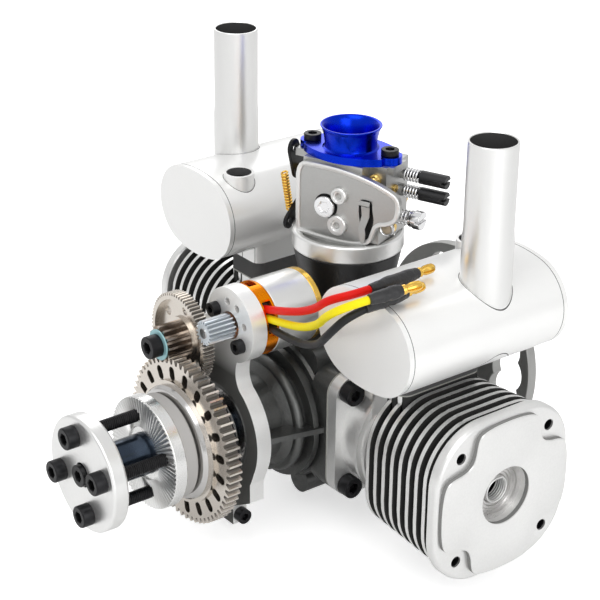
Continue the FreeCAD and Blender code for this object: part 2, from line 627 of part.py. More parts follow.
def case_halves():
    """Crankcase with cylinder seats, ribs, intake seat and rear standoffs, cut at the middle."""
    solids = []
    rib_front = CLAMP_FRONT + CLAMP_T + GAP
    rib_rear = RIGHT_Y - BASE_HALF + 1
    for side in SIDES.values():
        pad = slab(BASE_HALF, BASE_HALF, BASE_CORNER_R, CASE_HALF_X - CASE_PAD_T, CASE_PAD_T)
        neck = slab(BASE_HALF - 2.5, BASE_HALF - 2.5, BASE_CORNER_R, 0, CASE_HALF_X - CASE_PAD_T + 1)
        for piece in (pad, neck):
            piece.translate(V(0, RIGHT_Y, 0))
            solids.append(mirrored(piece, side))
        rib = [(RIB_IN_X, rib_front), (RIB_OUT_X, rib_front), (CASE_R, rib_rear), (RIB_IN_X, rib_rear)]
        rib = [V(side * x, y, RIB_TOP_Z - RIB_T) for x, y in rib]
        solids.append(Part.Face(Part.makePolygon(rib + rib[:1])).extrude(V(0, 0, RIB_T)))
        for z in (-STANDOFF_AT, STANDOFF_AT):
            solids.append(rod(STANDOFF_R, CASE_REAR - 3, -REAR_PLATE_T, side * STANDOFF_AT, z))
    for x, z in case_screw_spots():
        solids.append(rod(CASE_LUG_R, CASE_FRONT, CASE_REAR, x, z))
    intake = rounded_column(MANIFOLD_HALF, MANIFOLD_HALF, MANIFOLD_CORNER_R, CASE_R / 2, INTAKE_SEAT_Z)
    solids.append(carb(intake))
    case = case_body().fuse(solids)
    cuts = [rod(CHAMBER_R, CHAMBER_FRONT, CHAMBER_REAR), rod(SHAFT_R + 1, NOSE_FRONT - 1, REAR_BOSS_END - 3)]
    for start in BEARING_STARTS:
        cuts.append(rod(BEARING_R, start, start + BEARING_T))
    cuts.append(rod(BEARING_R, NOSE_FRONT - 1, BEARING_STARTS[0] + 1))
    for side in SIDES.values():
        opening = Part.makeCylinder(CASE_OPENING_R, CASE_HALF_X, V(1, RIGHT_Y, 0), X_AXIS)
        cuts.append(mirrored(opening, side))
        for a, b in CORNERS:
            at = V(CASE_HALF_X - CASE_PAD_T, RIGHT_Y + a * BASE_SCREW_AT, b * BASE_SCREW_AT)
            cuts.append(mirrored(Part.makeCylinder(BOLT_R, CASE_PAD_T + 1, at, X_AXIS), side))
        for z in (-STANDOFF_AT, STANDOFF_AT):
            cuts.append(rod(BOLT_R, -REAR_PLATE_T - 14, 0, side * STANDOFF_AT, z))
    for x, z in case_screw_spots():
        cuts.append(rod(BOLT_R, CASE_REAR - CASE_SCREW_LENGTH - 2, CASE_REAR + 1, x, z))
        cuts.append(rod(BOLT_HEAD_R + 0.6, CASE_REAR, CASE_REAR + 14, x, z))
    cuts.append(carb(upright(THROAT_R + 1, 10, INTAKE_SEAT_Z + 1, 0, 0)))
    case = case.cut(cuts)
    front = case.common(block((-200, -200, -200), (200, MID_Y, 200)))
    rear = case.common(block((-200, MID_Y, -200), (200, 200, 200)))
    return front, rear


front, rear = case_halves()
save("crankcase_front", front)
save("crankcase_rear", rear)
bearings = [ring(BEARING_R, SHAFT_R + RUNNING_FIT, start, start + BEARING_T) for start in BEARING_STARTS]
save("main_bearings", bearings)


# Crankshaft, hub and propeller plate turn together
BOLTS = [around(BOLT_CIRCLE_R, BOLT_ANGLE + 90 * i) for i in range(4)]
PLATE_BACK = PLATE_FRONT + PLATE_T
CRANK_BOLT_SEAT = PLATE_FRONT + 2.9
shaft = rod(SHAFT_R, PLATE_BACK, -WEB_T + CRANK_MAIN_END)
web = rod(WEB_R, CRANK_MAIN_END - WEB_T, CRANK_MAIN_END)
for side in SIDES.values():
    web = web.cut(rod(9.5, CRANK_MAIN_END - WEB_T - 1, CRANK_MAIN_END + 1, side * 21, 14))
shaft = shaft.fuse(web).cut(rod(BOLT_R, PLATE_BACK - 1, PLATE_BACK + 18))
save("crankshaft", shaft)

hub = turned([(SHAFT_R, HUB_FRONT + 1), (10.4, HUB_FRONT + 1), (10.4, HUB_FRONT), (HUB_R, HUB_FRONT),
              (HUB_R, HUB_FRONT + HUB_FLANGE_T), (HUB_BODY_R, HUB_FRONT + HUB_FLANGE_T + 0.6),
              (HUB_BODY_R, HUB_BODY_END - 0.8), (HUB_BODY_R - 0.8, HUB_BODY_END),
              (HUB_SLEEVE_R, HUB_BODY_END),
              (HUB_SLEEVE_R, NOSE_FRONT - 1), (SHAFT_R, NOSE_FRONT - 1)])
hub = hub.cut([rod(BOLT_R, HUB_FRONT - 1, HUB_BODY_END - 2, x, z) for x, z in BOLTS])
save("drive_hub", hub)

plate_disc = rod(PLATE_R, PLATE_FRONT, PLATE_BACK)
plate_disc = plate_disc.makeChamfer(0.6, [e for e in plate_disc.Edges if e.Closed])
plate_disc = plate_disc.cut([rod(BOLT_R + 0.15, PLATE_FRONT - 1, 0, x, z) for x, z in BOLTS + [(0, 0)]])
save("propeller_plate", plate_disc.cut(rod(BOLT_HEAD_R + 0.35, PLATE_FRONT - 1, CRANK_BOLT_SEAT)))
bolt_length = HUB_BODY_END - 3 - PLATE_FRONT
bolt_seats = [V(x, PLATE_FRONT, z) for x, z in BOLTS]
save("propeller_bolts", [cap_screw(BOLT_R, bolt_length, BOLT_HEAD_R, BOLT_HEAD_H, seat, Y_AXIS)
                         for seat in bolt_seats])
save("crank_bolt", cap_screw(BOLT_R, 18, BOLT_HEAD_R, BOLT_HEAD_H, V(0, CRANK_BOLT_SEAT, 0), Y_AXIS))

# Rear half of the built-up crank, with rods and pistons, stands at mid-stroke
WEB_2 = MID_Y - WEB_T / 2 + 0.5
WEB_3 = WEB_2 + STAGGER
rear_crank = rod(PIN_R, CRANK_MAIN_END + GAP, WEB_2 + 1, 0, THROW).fuse([
    rod(WEB_R, WEB_2 - 0.5, WEB_2 + WEB_T - 1.5), rod(PIN_R, WEB_2, WEB_3 + 1, 0, -THROW),
    rod(WEB_R, WEB_3 - 0.5, WEB_3 + WEB_T - 0.5), rod(SHAFT_R, WEB_3, REAR_BOSS_END - 4)])
save("crank_rear", rear_crank)

PISTON_PIN_X = math.sqrt(ROD_LENGTH ** 2 - THROW ** 2)
CROWN_X = PISTON_PIN_X + BORE_R


def make_rod():
    """Right-hand connecting rod, big end on the pin above the crank axis."""
    start = RIGHT_Y - ROD_T / 2
    tilt = math.degrees(math.atan2(-THROW, PISTON_PIN_X))
    beam = Part.makeBox(ROD_LENGTH - 14, ROD_T - 3, 7, V(8, start + 1.5, -3.5))
    beam.rotate(V(0, 0, 0), Y_AXIS, -tilt)
    beam.translate(V(0, 0, THROW))
    body = beam.fuse([rod(BIG_END_R, start, start + ROD_T, 0, THROW),
                      rod(SMALL_END_R, start, start + ROD_T, PISTON_PIN_X, 0)])
    bores = [rod(PIN_R + RUNNING_FIT, start - 1, start + ROD_T + 1, 0, THROW),
             rod(PISTON_PIN_R + RUNNING_FIT, start - 1, start + ROD_T + 1, PISTON_PIN_X, 0)]
    return body.cut(bores)


def make_piston():
    """Right-hand piston with its pin bosses."""
    foot_x = CROWN_X - PISTON_LENGTH
    skirt = Part.makeCylinder(BORE_R - RUNNING_FIT, PISTON_LENGTH, V(foot_x, RIGHT_Y, 0), X_AXIS)
    inside = Part.makeCylinder(BORE_R - 2.4, PISTON_LENGTH - CROWN_T + 1, V(foot_x - 1, RIGHT_Y, 0), X_AXIS)
    skirt = skirt.cut(inside)
    for near, far in ((5, PISTON_PIN_HALF + 1), (-PISTON_PIN_HALF - 1, -5)):
        skirt = skirt.fuse(rod(PISTON_PIN_R + 2.5, RIGHT_Y + near, RIGHT_Y + far, PISTON_PIN_X))
    return skirt.cut(rod(PISTON_PIN_R + 0.02, RIGHT_Y - BORE_R, RIGHT_Y + BORE_R, PISTON_PIN_X))


def both_turned(shape):
    """The shape and its left-hand twin, turned half round about Z and about X."""
    twin = mirrored(shape, -1)
    twin.rotate(V(0, LEFT_Y, 0), X_AXIS, 180)
    return [shape, twin]


save("connecting_rods", both_turned(make_rod()))
save("pistons", both_turned(make_piston()))
pin_ends = (RIGHT_Y - PISTON_PIN_HALF, RIGHT_Y + PISTON_PIN_HALF)
save("wrist_pins", both_turned(ring(PISTON_PIN_R, PISTON_PIN_BORE_R, *pin_ends, PISTON_PIN_X)))

# Starter gears
IDLER_X, IDLER_Z = around(RING_MODULE * (RING_TEETH + PINION_TEETH) / 2, IDLER_ANGLE)
motor_dx, motor_dz = around(WHEEL_MODULE * (WHEEL_TEETH + MOTOR_TEETH) / 2, MOTOR_ANGLE)
MOTOR_X = IDLER_X + motor_dx
MOTOR_Z = IDLER_Z + motor_dz


def mesh_turn(teeth, follower_teeth, angle):
    """Turn of a follower, so that its gap meets the tooth of an unturned gear."""
    phase = (angle / (360 / teeth)) % 1
    return angle + 180 + (phase + 0.5) * 360 / follower_teeth


ring_back = RING_FRONT + RING_T
ring_gear = gear(RING_MODULE, RING_TEETH, RING_FRONT, RING_T, 0, 0)
ring_gear = ring_gear.fuse(rod(RING_BORE_R + 1.7, RING_FRONT - 1.2, RING_FRONT + 1))
slots = []
for i in range(SLOT_COUNT):
    angle = 360 / SLOT_COUNT * (i + 0.5)
    near = around(SLOT_CIRCLE_R - 1.0, angle)
    far = around(SLOT_CIRCLE_R + 1.2, angle)
    slot = [rod(1.7, RING_FRONT - 2, ring_back + 1, *near), rod(1.7, RING_FRONT - 2, ring_back + 1, *far)]
    bar = Part.makeBox(2.2, RING_T + 3, 3.4, V(SLOT_CIRCLE_R - 1.0, RING_FRONT - 2, -1.7))
    bar.rotate(V(0, 0, 0), Y_AXIS, -angle)
    slots.append(slot[0].fuse([slot[1], bar]))
ring_gear = ring_gear.cut([rod(RING_BORE_R, RING_FRONT - 3, ring_back + 1)] + slots)
save("ring_gear", ring_gear)
shield_r = RING_MODULE * (RING_TEETH / 2 - 1.3)
save("ring_gear_shield", ring(shield_r, RING_BORE_R, ring_back, ring_back + SHIELD_T))

race_end = ring_back + SHIELD_T
race_r = HUB_SLEEVE_R + RUNNING_FIT
race_front = HUB_BODY_END + 0.4
save("starter_clutch", turned([(race_r, race_front + 1.6), (14.3, race_front + 1.6), (15, race_front + 0.6),
                               (17, race_front), (19.6, race_front), (21.6, race_front + 0.8),
                               (RING_BORE_R, race_front + 2.2), (RING_BORE_R, race_end), (race_r, race_end)]))

PINION_R = RING_MODULE * PINION_TEETH / 2
WHEEL_BACK = WHEEL_FRONT + WHEEL_T
PINION_BACK = WHEEL_FRONT + 1.2
wheel = gear(WHEEL_MODULE, WHEEL_TEETH, WHEEL_FRONT, WHEEL_T, IDLER_X, IDLER_Z)
wheel = wheel.cut(rod(WHEEL_RECESS_R, WHEEL_FRONT - 1, WHEEL_FRONT + WHEEL_RECESS_DEPTH, IDLER_X, IDLER_Z))
wheel = wheel.fuse(rod(WHEEL_HUB_R, PINION_BACK, WHEEL_BACK, IDLER_X, IDLER_Z))
wheel_cuts = [rod(SHOULDER_R + RUNNING_FIT, WHEEL_FRONT - 1, WHEEL_BACK + 1, IDLER_X, IDLER_Z)]
for i in range(6):
    x, z = around(WHEEL_HOLE_CIRCLE_R, 60 * i + 20)
    wheel_cuts.append(rod(WHEEL_HOLE_R, WHEEL_FRONT - 1, WHEEL_BACK + 1, IDLER_X + x, IDLER_Z + z))
save("idler_wheel", wheel.cut(wheel_cuts))
pinion = gear(RING_MODULE, PINION_TEETH, PINION_FRONT, PINION_BACK - PINION_FRONT, IDLER_X, IDLER_Z,
              mesh_turn(RING_TEETH, PINION_TEETH, IDLER_ANGLE))
save("idler_pinion", pinion.cut(rod(SHOULDER_R + RUNNING_FIT, PINION_FRONT - 1, 0, IDLER_X, IDLER_Z)))

clip_front = PINION_FRONT - 0.8
shoulder_end = WHEEL_BACK + 0.3
idler_seat = V(IDLER_X, clip_front, IDLER_Z)
journal = cap_screw(SHOULDER_R, shoulder_end - clip_front, 4.4, 4.8, idler_seat, Y_AXIS)
thread = rod(IDLER_THREAD_R, shoulder_end - 1, CLAMP_FRONT + CLAMP_T, IDLER_X, IDLER_Z)
save("idler_screw", journal.fuse(thread))
save("idler_clip", ring(6.0, SHOULDER_R, clip_front, PINION_FRONT - 0.2, IDLER_X, IDLER_Z))

# Starter motor: bell and stator stand, can, rear ring, shaft and pinion turn
motor_at = (MOTOR_X, MOTOR_Z)
bell = rod(MOTOR_R, MOTOR_FRONT, BELL_END, *motor_at)
bell = bell.cut(rod(CAN_BORE_R, MOTOR_FRONT + 1.6, BELL_END + 1, *motor_at))
bell = bell.fuse(rod(MOTOR_HUB_R, MOTOR_FRONT, CAN_END - 2, *motor_at))
bell_cuts = [rod(MOTOR_SHAFT_R + RUNNING_FIT, MOTOR_FRONT - 1, CAN_END, *motor_at)]
for i in range(4):
    window = block((CAN_BORE_R - 1.5, MOTOR_FRONT + 1.0, -MOTOR_WINDOW_HALF),
                   (MOTOR_R + 1, BELL_END - 0.9, MOTOR_WINDOW_HALF))
    window.rotate(V(0, 0, 0), Y_AXIS, -22 - 90 * i)
    window.translate(V(MOTOR_X, 0, MOTOR_Z))
    bell_cuts.append(window)
hole_offsets = [around(MOTOR_SCREW_CIRCLE_R, angle) for angle in MOTOR_HOLE_ANGLES]
MOTOR_HOLES = [(MOTOR_X + x, MOTOR_Z + z) for x, z in hole_offsets]
for x, z in MOTOR_HOLES[:2]:
    bell_cuts.append(rod(MOTOR_SCREW_R, MOTOR_FRONT - 1, MOTOR_FRONT + 3, x, z))
save("motor_end_bell", bell.cut(bell_cuts))
save("motor_stator", ring(CAN_BORE_R - 0.5, MOTOR_HUB_R, MOTOR_FRONT + 2.6, CAN_END - 1.5, *motor_at))
save("motor_can", ring(MOTOR_R, CAN_BORE_R, BELL_END + GAP, CAN_END, *motor_at))
save("motor_rear_ring", ring(MOTOR_R, MOTOR_SHAFT_R, CAN_END, MOTOR_BACK, *motor_at))
save("motor_shaft", rod(MOTOR_SHAFT_R, MOTOR_PINION_FRONT - 0.4, MOTOR_BACK, *motor_at))
motor_pinion = gear(WHEEL_MODULE, MOTOR_TEETH, MOTOR_PINION_FRONT, MOTOR_PINION_LENGTH, MOTOR_X, MOTOR_Z,
                    mesh_turn(WHEEL_TEETH, MOTOR_TEETH, MOTOR_ANGLE))
save("motor_pinion", motor_pinion.cut(rod(MOTOR_SHAFT_R, MOTOR_PINION_FRONT - 1, 0, *motor_at)))

# Starter plate clamped on the crankcase nose
def flat_edges(points, curved):
    """Edges at the starter plate's front face, as one smooth curve or as straight runs."""
    corners = [V(x, CLAMP_FRONT, z) for x, z in points]
    if not curved:
        return Part.makePolygon(corners).Edges
    curve = Part.BSplineCurve()
    curve.interpolate(corners)
    return [curve.toShape()]


lug_half = [(PINCH_LUG_X, PINCH_LUG_TOP), (PINCH_LUG_X, PINCH_LUG_END)]
lower_half = [LOWER_CORNER] + lug_half
lower_edge = [RIGHT_EDGE[-1]] + lower_half + [(-x, z) for x, z in reversed(lower_half)] + [LEFT_EDGE[0]]
edges = flat_edges(RIGHT_EDGE, True) + flat_edges(lower_edge, False) + flat_edges(LEFT_EDGE, True)
edges += flat_edges([LEFT_EDGE[-1], RIGHT_EDGE[0]], False)
clamp = Part.Face(Part.Wire(edges)).extrude(Y_AXIS * CLAMP_T)
clamp = clamp.fuse([rod(LOBE_R, CLAMP_FRONT, MOTOR_FRONT, *motor_at), rod(CLAMP_R, CLAMP_FRONT, MOTOR_FRONT),
                    rod(6.2, WHEEL_BACK + 0.3, CLAMP_FRONT + 1, IDLER_X, IDLER_Z)])
clamp_cuts = [rod(NOSE_R, CLAMP_FRONT - 1, MOTOR_FRONT + 1),
              rod(MOTOR_HUB_R + 1.4, CLAMP_FRONT - 1, MOTOR_FRONT + 1, *motor_at),
              rod(IDLER_THREAD_R, WHEEL_BACK - 1, MOTOR_FRONT + 1, IDLER_X, IDLER_Z),
              block((-PINCH_SLIT_HALF, CLAMP_FRONT - 1, -CLAMP_R * 2), (PINCH_SLIT_HALF, MOTOR_FRONT + 1, 0))]
clamp_cuts += [rod(MOTOR_SCREW_R, CLAMP_FRONT - 1, MOTOR_FRONT + 1, x, z) for x, z in MOTOR_HOLES]
pinch_y = CLAMP_FRONT + CLAMP_T / 2
pinch_hole = V(-PINCH_LUG_X - 1, pinch_y, PINCH_Z)
clamp_cuts.append(Part.makeCylinder(PINCH_SCREW_R, 2 * PINCH_LUG_X + 2, pinch_hole, X_AXIS))
save("starter_plate", clamp.cut(clamp_cuts))
starter_screws = [cap_screw(MOTOR_SCREW_R, CLAMP_T + 1.6, 2.75, 3.2, V(x, CLAMP_FRONT, z), Y_AXIS)
                  for x, z in MOTOR_HOLES[:2]]
pinch_seat = V(PINCH_LUG_X, pinch_y, PINCH_Z)
starter_screws.append(cap_screw(PINCH_SCREW_R, 2 * PINCH_LUG_X - 1.5, 3.0, 3.6, pinch_seat, V(-1, 0, 0)))
save("starter_screws", starter_screws)

# Intake: reed block, insulator and tray, then the carburettor
manifold = rounded_column(MANIFOLD_HALF, MANIFOLD_HALF, MANIFOLD_CORNER_R, INTAKE_SEAT_Z, MANIFOLD_TOP)
passage = block((-MANIFOLD_BORE_HALF, -MANIFOLD_BORE_HALF, INTAKE_SEAT_Z - 1),
                (MANIFOLD_BORE_HALF, MANIFOLD_BORE_HALF, MANIFOLD_TOP + 1))
save("intake_manifold", carb(manifold.cut(passage)))

inner_x, inner_y = REED_HALF_X - REED_WALL, REED_HALF_Y - REED_WALL
wedge = plate([(-REED_HALF_X, 0), (REED_HALF_X, 0), (1.2, -REED_DEPTH), (-1.2, -REED_DEPTH)],
              -REED_HALF_Y, 2 * REED_HALF_Y)
wedge = wedge.cut(plate([(-inner_x, 1), (inner_x, 1), (0, 2 - REED_DEPTH)], -inner_y, 2 * inner_y))
wedge.translate(V(0, 0, MANIFOLD_TOP))
reed = rounded_column(MANIFOLD_HALF, MANIFOLD_HALF, MANIFOLD_CORNER_R, MANIFOLD_TOP, INSULATOR_Z)
reed = reed.cut(block((-inner_x, -inner_y, MANIFOLD_TOP - 1), (inner_x, inner_y, INSULATOR_Z + 1)))
save("reed_block", carb(reed.fuse(wedge)))

insulator_foot = V(0, TRAY_V, INSULATOR_Z)
insulator = Part.makeCone(MANIFOLD_HALF, TRAY_R - 0.5, TRAY_Z - INSULATOR_Z, insulator_foot, Z_AXIS)
save("intake_insulator", carb(insulator.cut(upright(THROAT_R, INSULATOR_Z - 1, TRAY_Z + 1, 0, 0))))

tray = upright(TRAY_R, TRAY_Z, TRAY_TOP, 0, TRAY_V)
tray = tray.cut(upright(TRAY_R - TRAY_WALL, TRAY_FLOOR, TRAY_TOP + 1, 0, TRAY_V))
save("intake_tray", carb(tray.cut(upright(THROAT_R, TRAY_Z - 1, TRAY_FLOOR + 1, 0, 0))))


def along_u(radius, start, end, v, z):
    """A cylinder along u in the carburettor's frame."""
    return Part.makeCylinder(radius, end - start, V(start, v, z), X_AXIS)


def along_v(radius, start, end, u, z):
    """A cylinder along v in the carburettor's frame."""
    return Part.makeCylinder(radius, end - start, V(u, start, z), Y_AXIS)


needle_bore_start = THROAT_R + 5
cover_hole_end = BODY_FRONT + COVER_SCREW_GRIP + 0.5
body = block((BODY_LEFT, BODY_FRONT, TRAY_TOP + GAP), (BODY_RIGHT, BODY_REAR, BODY_TOP))
body = body.fuse([block((BODY_LEFT, BODY_FRONT, TRAY_FLOOR), (-BODY_LEFT, BODY_REAR, TRAY_TOP + 1)),
                  block((-EAR_AT - 4.4, -5.2, BODY_TOP - EAR_T), (EAR_AT + 4.4, 5.2, BODY_TOP)),
                  along_u(2.0, BODY_RIGHT - 1, NEEDLE_BOSS_END, NEEDLE_V, NEEDLE_ZS["needle_high"]),
                  along_u(2.4, BODY_RIGHT - 1, NEEDLE_BOSS_END, NEEDLE_V, NEEDLE_ZS["needle_low"]),
                  along_u(2.6, BODY_RIGHT - 1, IDLE_BOSS_END, IDLE_V, IDLE_Z)])
body = body.cut([upright(THROAT_R, TRAY_FLOOR - 1, BODY_TOP + 1, 0, 0),
                 along_u(SPINDLE_R + RUNNING_FIT, BODY_LEFT - 9, BODY_RIGHT + 1, 0, CHOKE_Z),
                 along_u(SPINDLE_R + RUNNING_FIT, BODY_LEFT - 9, BODY_RIGHT + 1, 0, THROTTLE_Z),
                 along_u(NEEDLE_R + RUNNING_FIT, needle_bore_start, IDLE_BOSS_END + 1, IDLE_V, IDLE_Z),
                 block((THROAT_R + 3.4, BODY_FRONT - 1, CHOKE_Z - 1), (BODY_RIGHT + 1, -6.5, BODY_TOP + 1)),
                 along_v(FUEL_SEAT_R, BODY_REAR - FUEL_SEAT_DEPTH, BODY_REAR + 1, FUEL_U, FUEL_Z),
                 along_v(COVER_SCREW_R, BODY_FRONT - 1, cover_hole_end, *COVER_SCREW_AT)])
for z in NEEDLE_ZS.values():
    body = body.cut(along_u(NEEDLE_R + RUNNING_FIT, needle_bore_start, NEEDLE_BOSS_END + 1, NEEDLE_V, z))
for side in SIDES.values():
    body = body.cut(upright(EAR_SCREW_R, BODY_TOP - EAR_T - 1, BODY_TOP + 1, side * EAR_AT, 0))
save("carburettor_body", carb(body))

COVER_FRONT = BODY_FRONT - COVER_T
ledge = TRAY_TOP + 0.6
tongue_left, tongue_right, tongue_foot = COVER_TONGUE
outline = [(COVER_LEFT, BODY_TOP - 1.6), (COVER_LEFT, ledge), (tongue_left, ledge),
           (tongue_left, tongue_foot), (tongue_right, tongue_foot), (tongue_right + 1, ledge)]
cover = plate(outline + list(COVER_EDGE), COVER_FRONT, COVER_T)
boss_front = COVER_FRONT - COVER_BOSS_HEIGHT
cover = cover.fuse([along_v(r, boss_front, COVER_FRONT + 1, u, z) for u, z, r in COVER_BOSSES])
pocket_left, pocket_right, pocket_foot, pocket_top = COVER_POCKET
cuts = [along_v(COVER_BOSS_BORE_R, boss_front - 1, COVER_FRONT + 1, u, z) for u, z, r in COVER_BOSSES]
cuts.append(along_v(COVER_SCREW_R, COVER_FRONT - 1, BODY_FRONT + 1, *COVER_SCREW_AT))
cuts.append(block((pocket_left, COVER_FRONT - 1, pocket_foot),
                  (pocket_right, COVER_FRONT + COVER_POCKET_DEPTH, pocket_top)))
save("carburettor_cover", carb(cover.cut(cuts)))
cover_screw_seat = V(COVER_SCREW_AT[0], COVER_FRONT, COVER_SCREW_AT[1])
cover_screw = cap_screw(COVER_SCREW_R, COVER_T + COVER_SCREW_GRIP, COVER_SCREW_HEAD_R, COVER_SCREW_HEAD_H,
                        cover_screw_seat, Y_AXIS)
save("cover_screw", carb(cover_screw))
nipple = along_v(FUEL_TUBE_R, BODY_REAR, BODY_REAR + FUEL_TUBE_LENGTH, FUEL_U, FUEL_Z)
nipple = nipple.fuse(along_v(FUEL_SEAT_R, BODY_REAR - FUEL_SEAT_DEPTH, BODY_REAR, FUEL_U, FUEL_Z))
fuel_bore = along_v(FUEL_BORE_R, BODY_REAR - 2, BODY_REAR + FUEL_TUBE_LENGTH + 1, FUEL_U, FUEL_Z)
save("fuel_nipple", carb(nipple.cut(fuel_bore)))


def slotted_screw(head_r, head_start, head_t, v, z):
    """Adjusting screw along u, with a screwdriver slot across its head."""
    end = head_start + head_t
    screw = along_u(NEEDLE_R, THROAT_R + 7, head_start + 1, v, z).fuse(along_u(head_r, head_start, end, v, z))
    return screw.cut(block((end - 1.6, v - head_r - 1, z - 0.5), (end + 1, v + head_r + 1, z + 0.5)))


def spring(radius, start, head, v, z):
    """Coil round an adjusting screw, from its boss to just short of its head, as a tube."""
    end = head - RUNNING_FIT
    tube = along_u(radius, start, end, v, z)
    return carb(tube.cut(along_u(NEEDLE_R + RUNNING_FIT, start - 1, end + 1, v, z)))


for name, z in NEEDLE_ZS.items():
    save(name, carb(slotted_screw(NEEDLE_CAP_R, NEEDLE_CAP_START, NEEDLE_CAP_LENGTH, NEEDLE_V, z)))
save("idle_screw", carb(slotted_screw(IDLE_HEAD_R, IDLE_HEAD_START, IDLE_HEAD_T, IDLE_V, IDLE_Z)))
springs = [spring(NEEDLE_SPRING_R, NEEDLE_BOSS_END, NEEDLE_CAP_START, NEEDLE_V, z)
           for z in NEEDLE_ZS.values()]
springs.append(spring(IDLE_SPRING_R, IDLE_BOSS_END, IDLE_HEAD_START, IDLE_V, IDLE_Z))
save("needle_springs", springs)


def arm(spindle_z, spindle_r, hole_v, hole_z, hole_r):
    """Flat lever from its spindle to a rod hole."""
    start, end = V(ARM_U, 0, spindle_z), V(ARM_U, hole_v, hole_z)
    along = (end - start).normalize()
    across = V(0, -along.z, along.y)
    points = [start + across * spindle_r, end + across * hole_r,
              end - across * hole_r, start - across * spindle_r]
    lever = Part.Face(Part.makePolygon(points + points[:1])).extrude(V(ARM_T, 0, 0))
    lever = lever.fuse([along_u(spindle_r, ARM_U, ARM_U + ARM_T, 0, spindle_z),
                        along_u(hole_r, ARM_U, ARM_U + ARM_T, hole_v, hole_z)])
    holes = [along_u(SPINDLE_R, ARM_U - 1, ARM_U + ARM_T + 1, 0, spindle_z),
             along_u(LEVER_HOLE_R, ARM_U - 1, ARM_U + ARM_T + 1, hole_v, hole_z)]
    return carb(lever.cut(holes))


save("throttle_arm", arm(THROTTLE_Z, 3.2, *LEVER_HOLE, 3.0))
save("choke_arm", arm(CHOKE_Z, 4.4, *CHOKE_HOLE, 3.6))


def valve(z, upright_disc):
    """Spindle with its throttle or choke disc."""
    spindle = along_u(SPINDLE_R, ARM_U, BODY_RIGHT + 1, 0, z)
    direction = Y_AXIS if upright_disc else Z_AXIS
    disc = Part.makeCylinder(THROAT_R - 0.12, 1.2, V(0, 0, z) - direction * 0.6, direction)
    return carb(spindle.fuse(disc))


save("throttle_valve", valve(THROTTLE_Z, False))
save("choke_valve", valve(CHOKE_Z, True))

SPRING_LOW = V(ARM_U - 1.9, -2.0, 70.5)
SPRING_HIGH = V(ARM_U - 1.9, -6.4, 87.4)
coil = Part.makeCylinder(1.6, (SPRING_HIGH - SPRING_LOW).Length, SPRING_LOW, SPRING_HIGH - SPRING_LOW)
save("throttle_spring", carb(coil))

STACK_BASE = BODY_TOP
STACK_SEAT = STACK_BASE + STACK_FLANGE_T
STACK_BORE_R = THROAT_R + 0.2
profile = ((STACK_BORE_R, STACK_BASE), (STACK_FLANGE_R, STACK_BASE), (STACK_FLANGE_R, STACK_SEAT),
           (STACK_WALL_R, STACK_SEAT + 0.4), (STACK_WALL_R, STACK_TOP_Z - 5),
           (STACK_RIM_R - 0.8, STACK_TOP_Z - 2), (STACK_RIM_R, STACK_TOP_Z - 0.8),
           (STACK_RIM_R, STACK_TOP_Z), (STACK_RIM_R - 0.9, STACK_TOP_Z), (STACK_RIM_R - 2.2, STACK_TOP_Z - 3),
           (STACK_BORE_R, STACK_TOP_Z - 7), (STACK_BORE_R, STACK_BASE))
stack = Part.Face(Part.makePolygon([V(r, 0, z) for r, z in profile])).revolve(V(0, 0, 0), Z_AXIS, 360)
lens_r = (EAR_AT ** 2 + STACK_FLANGE_R ** 2 - EAR_R ** 2) / (2 * (STACK_FLANGE_R - EAR_R))
lens_at = lens_r - STACK_FLANGE_R
lens = [upright(lens_r, STACK_BASE, STACK_SEAT, 0, side * lens_at) for side in SIDES.values()]
lens = lens[0].common(lens[1]).common(block((-EAR_AT, -20, 0), (EAR_AT, 20, 200)))
ears = [upright(EAR_R, STACK_BASE, STACK_SEAT, side * EAR_AT, 0) for side in SIDES.values()]
stack = stack.fuse(ears + [lens.cut(upright(THROAT_R + 1, STACK_BASE - 1, STACK_SEAT + 1, 0, 0))])
stack_screws = []
for side in SIDES.values():
    stack = stack.cut(upright(STACK_SCREW_HOLE_R, STACK_BASE - 1, STACK_SEAT + 1, side * EAR_AT, 0))
    seat = V(side * EAR_AT, 0, STACK_SEAT)
    screw = cap_screw(EAR_SCREW_R, STACK_FLANGE_T + EAR_T - 0.5, STACK_SCREW_HEAD_R, STACK_SCREW_HEAD_H, seat,
                      V(0, 0, -1))
    stack_screws.append(carb(screw))
save("velocity_stack", carb(stack))
save("stack_screws", stack_screws)

# Rear mounting plate on four standoffs
rear_plate = rod(REAR_PLATE_R, -REAR_PLATE_T, 0)
plate_cuts = [rod(REAR_BORE_R, -10, 1)]
for quarter in range(4):
    for offset in (-19, 0, 19):
        plate_cuts.append(rod(SCALLOP_R, -10, 1, *around(SCALLOP_CIRCLE_R, 90 * quarter + offset)))
    plate_cuts.append(rod(MOUNT_HOLE_R, -10, 1, *around(MOUNT_CIRCLE_R, 45 + 90 * quarter)))
standoffs = [(a * STANDOFF_AT, b * STANDOFF_AT) for a, b in CORNERS]
plate_cuts += [rod(BOLT_R + SCREW_FIT, -10, 1, x, z) for x, z in standoffs]
plate_cuts += [rod(BOLT_HEAD_R + 0.3, -COUNTERBORE_DEPTH, 1, x, z) for x, z in standoffs]
save("rear_plate", rear_plate.cut(plate_cuts))
case_screws = [cap_screw(BOLT_R, CASE_SCREW_LENGTH, BOLT_HEAD_R, BOLT_HEAD_H, V(x, CASE_REAR, z), V(0, -1, 0))
               for x, z in case_screw_spots()]
for x, z in standoffs:
    case_screws.append(cap_screw(BOLT_R, 12, BOLT_HEAD_R, 2.6, V(x, -COUNTERBORE_DEPTH, z), V(0, -1, 0)))
save("case_screws", case_screws)

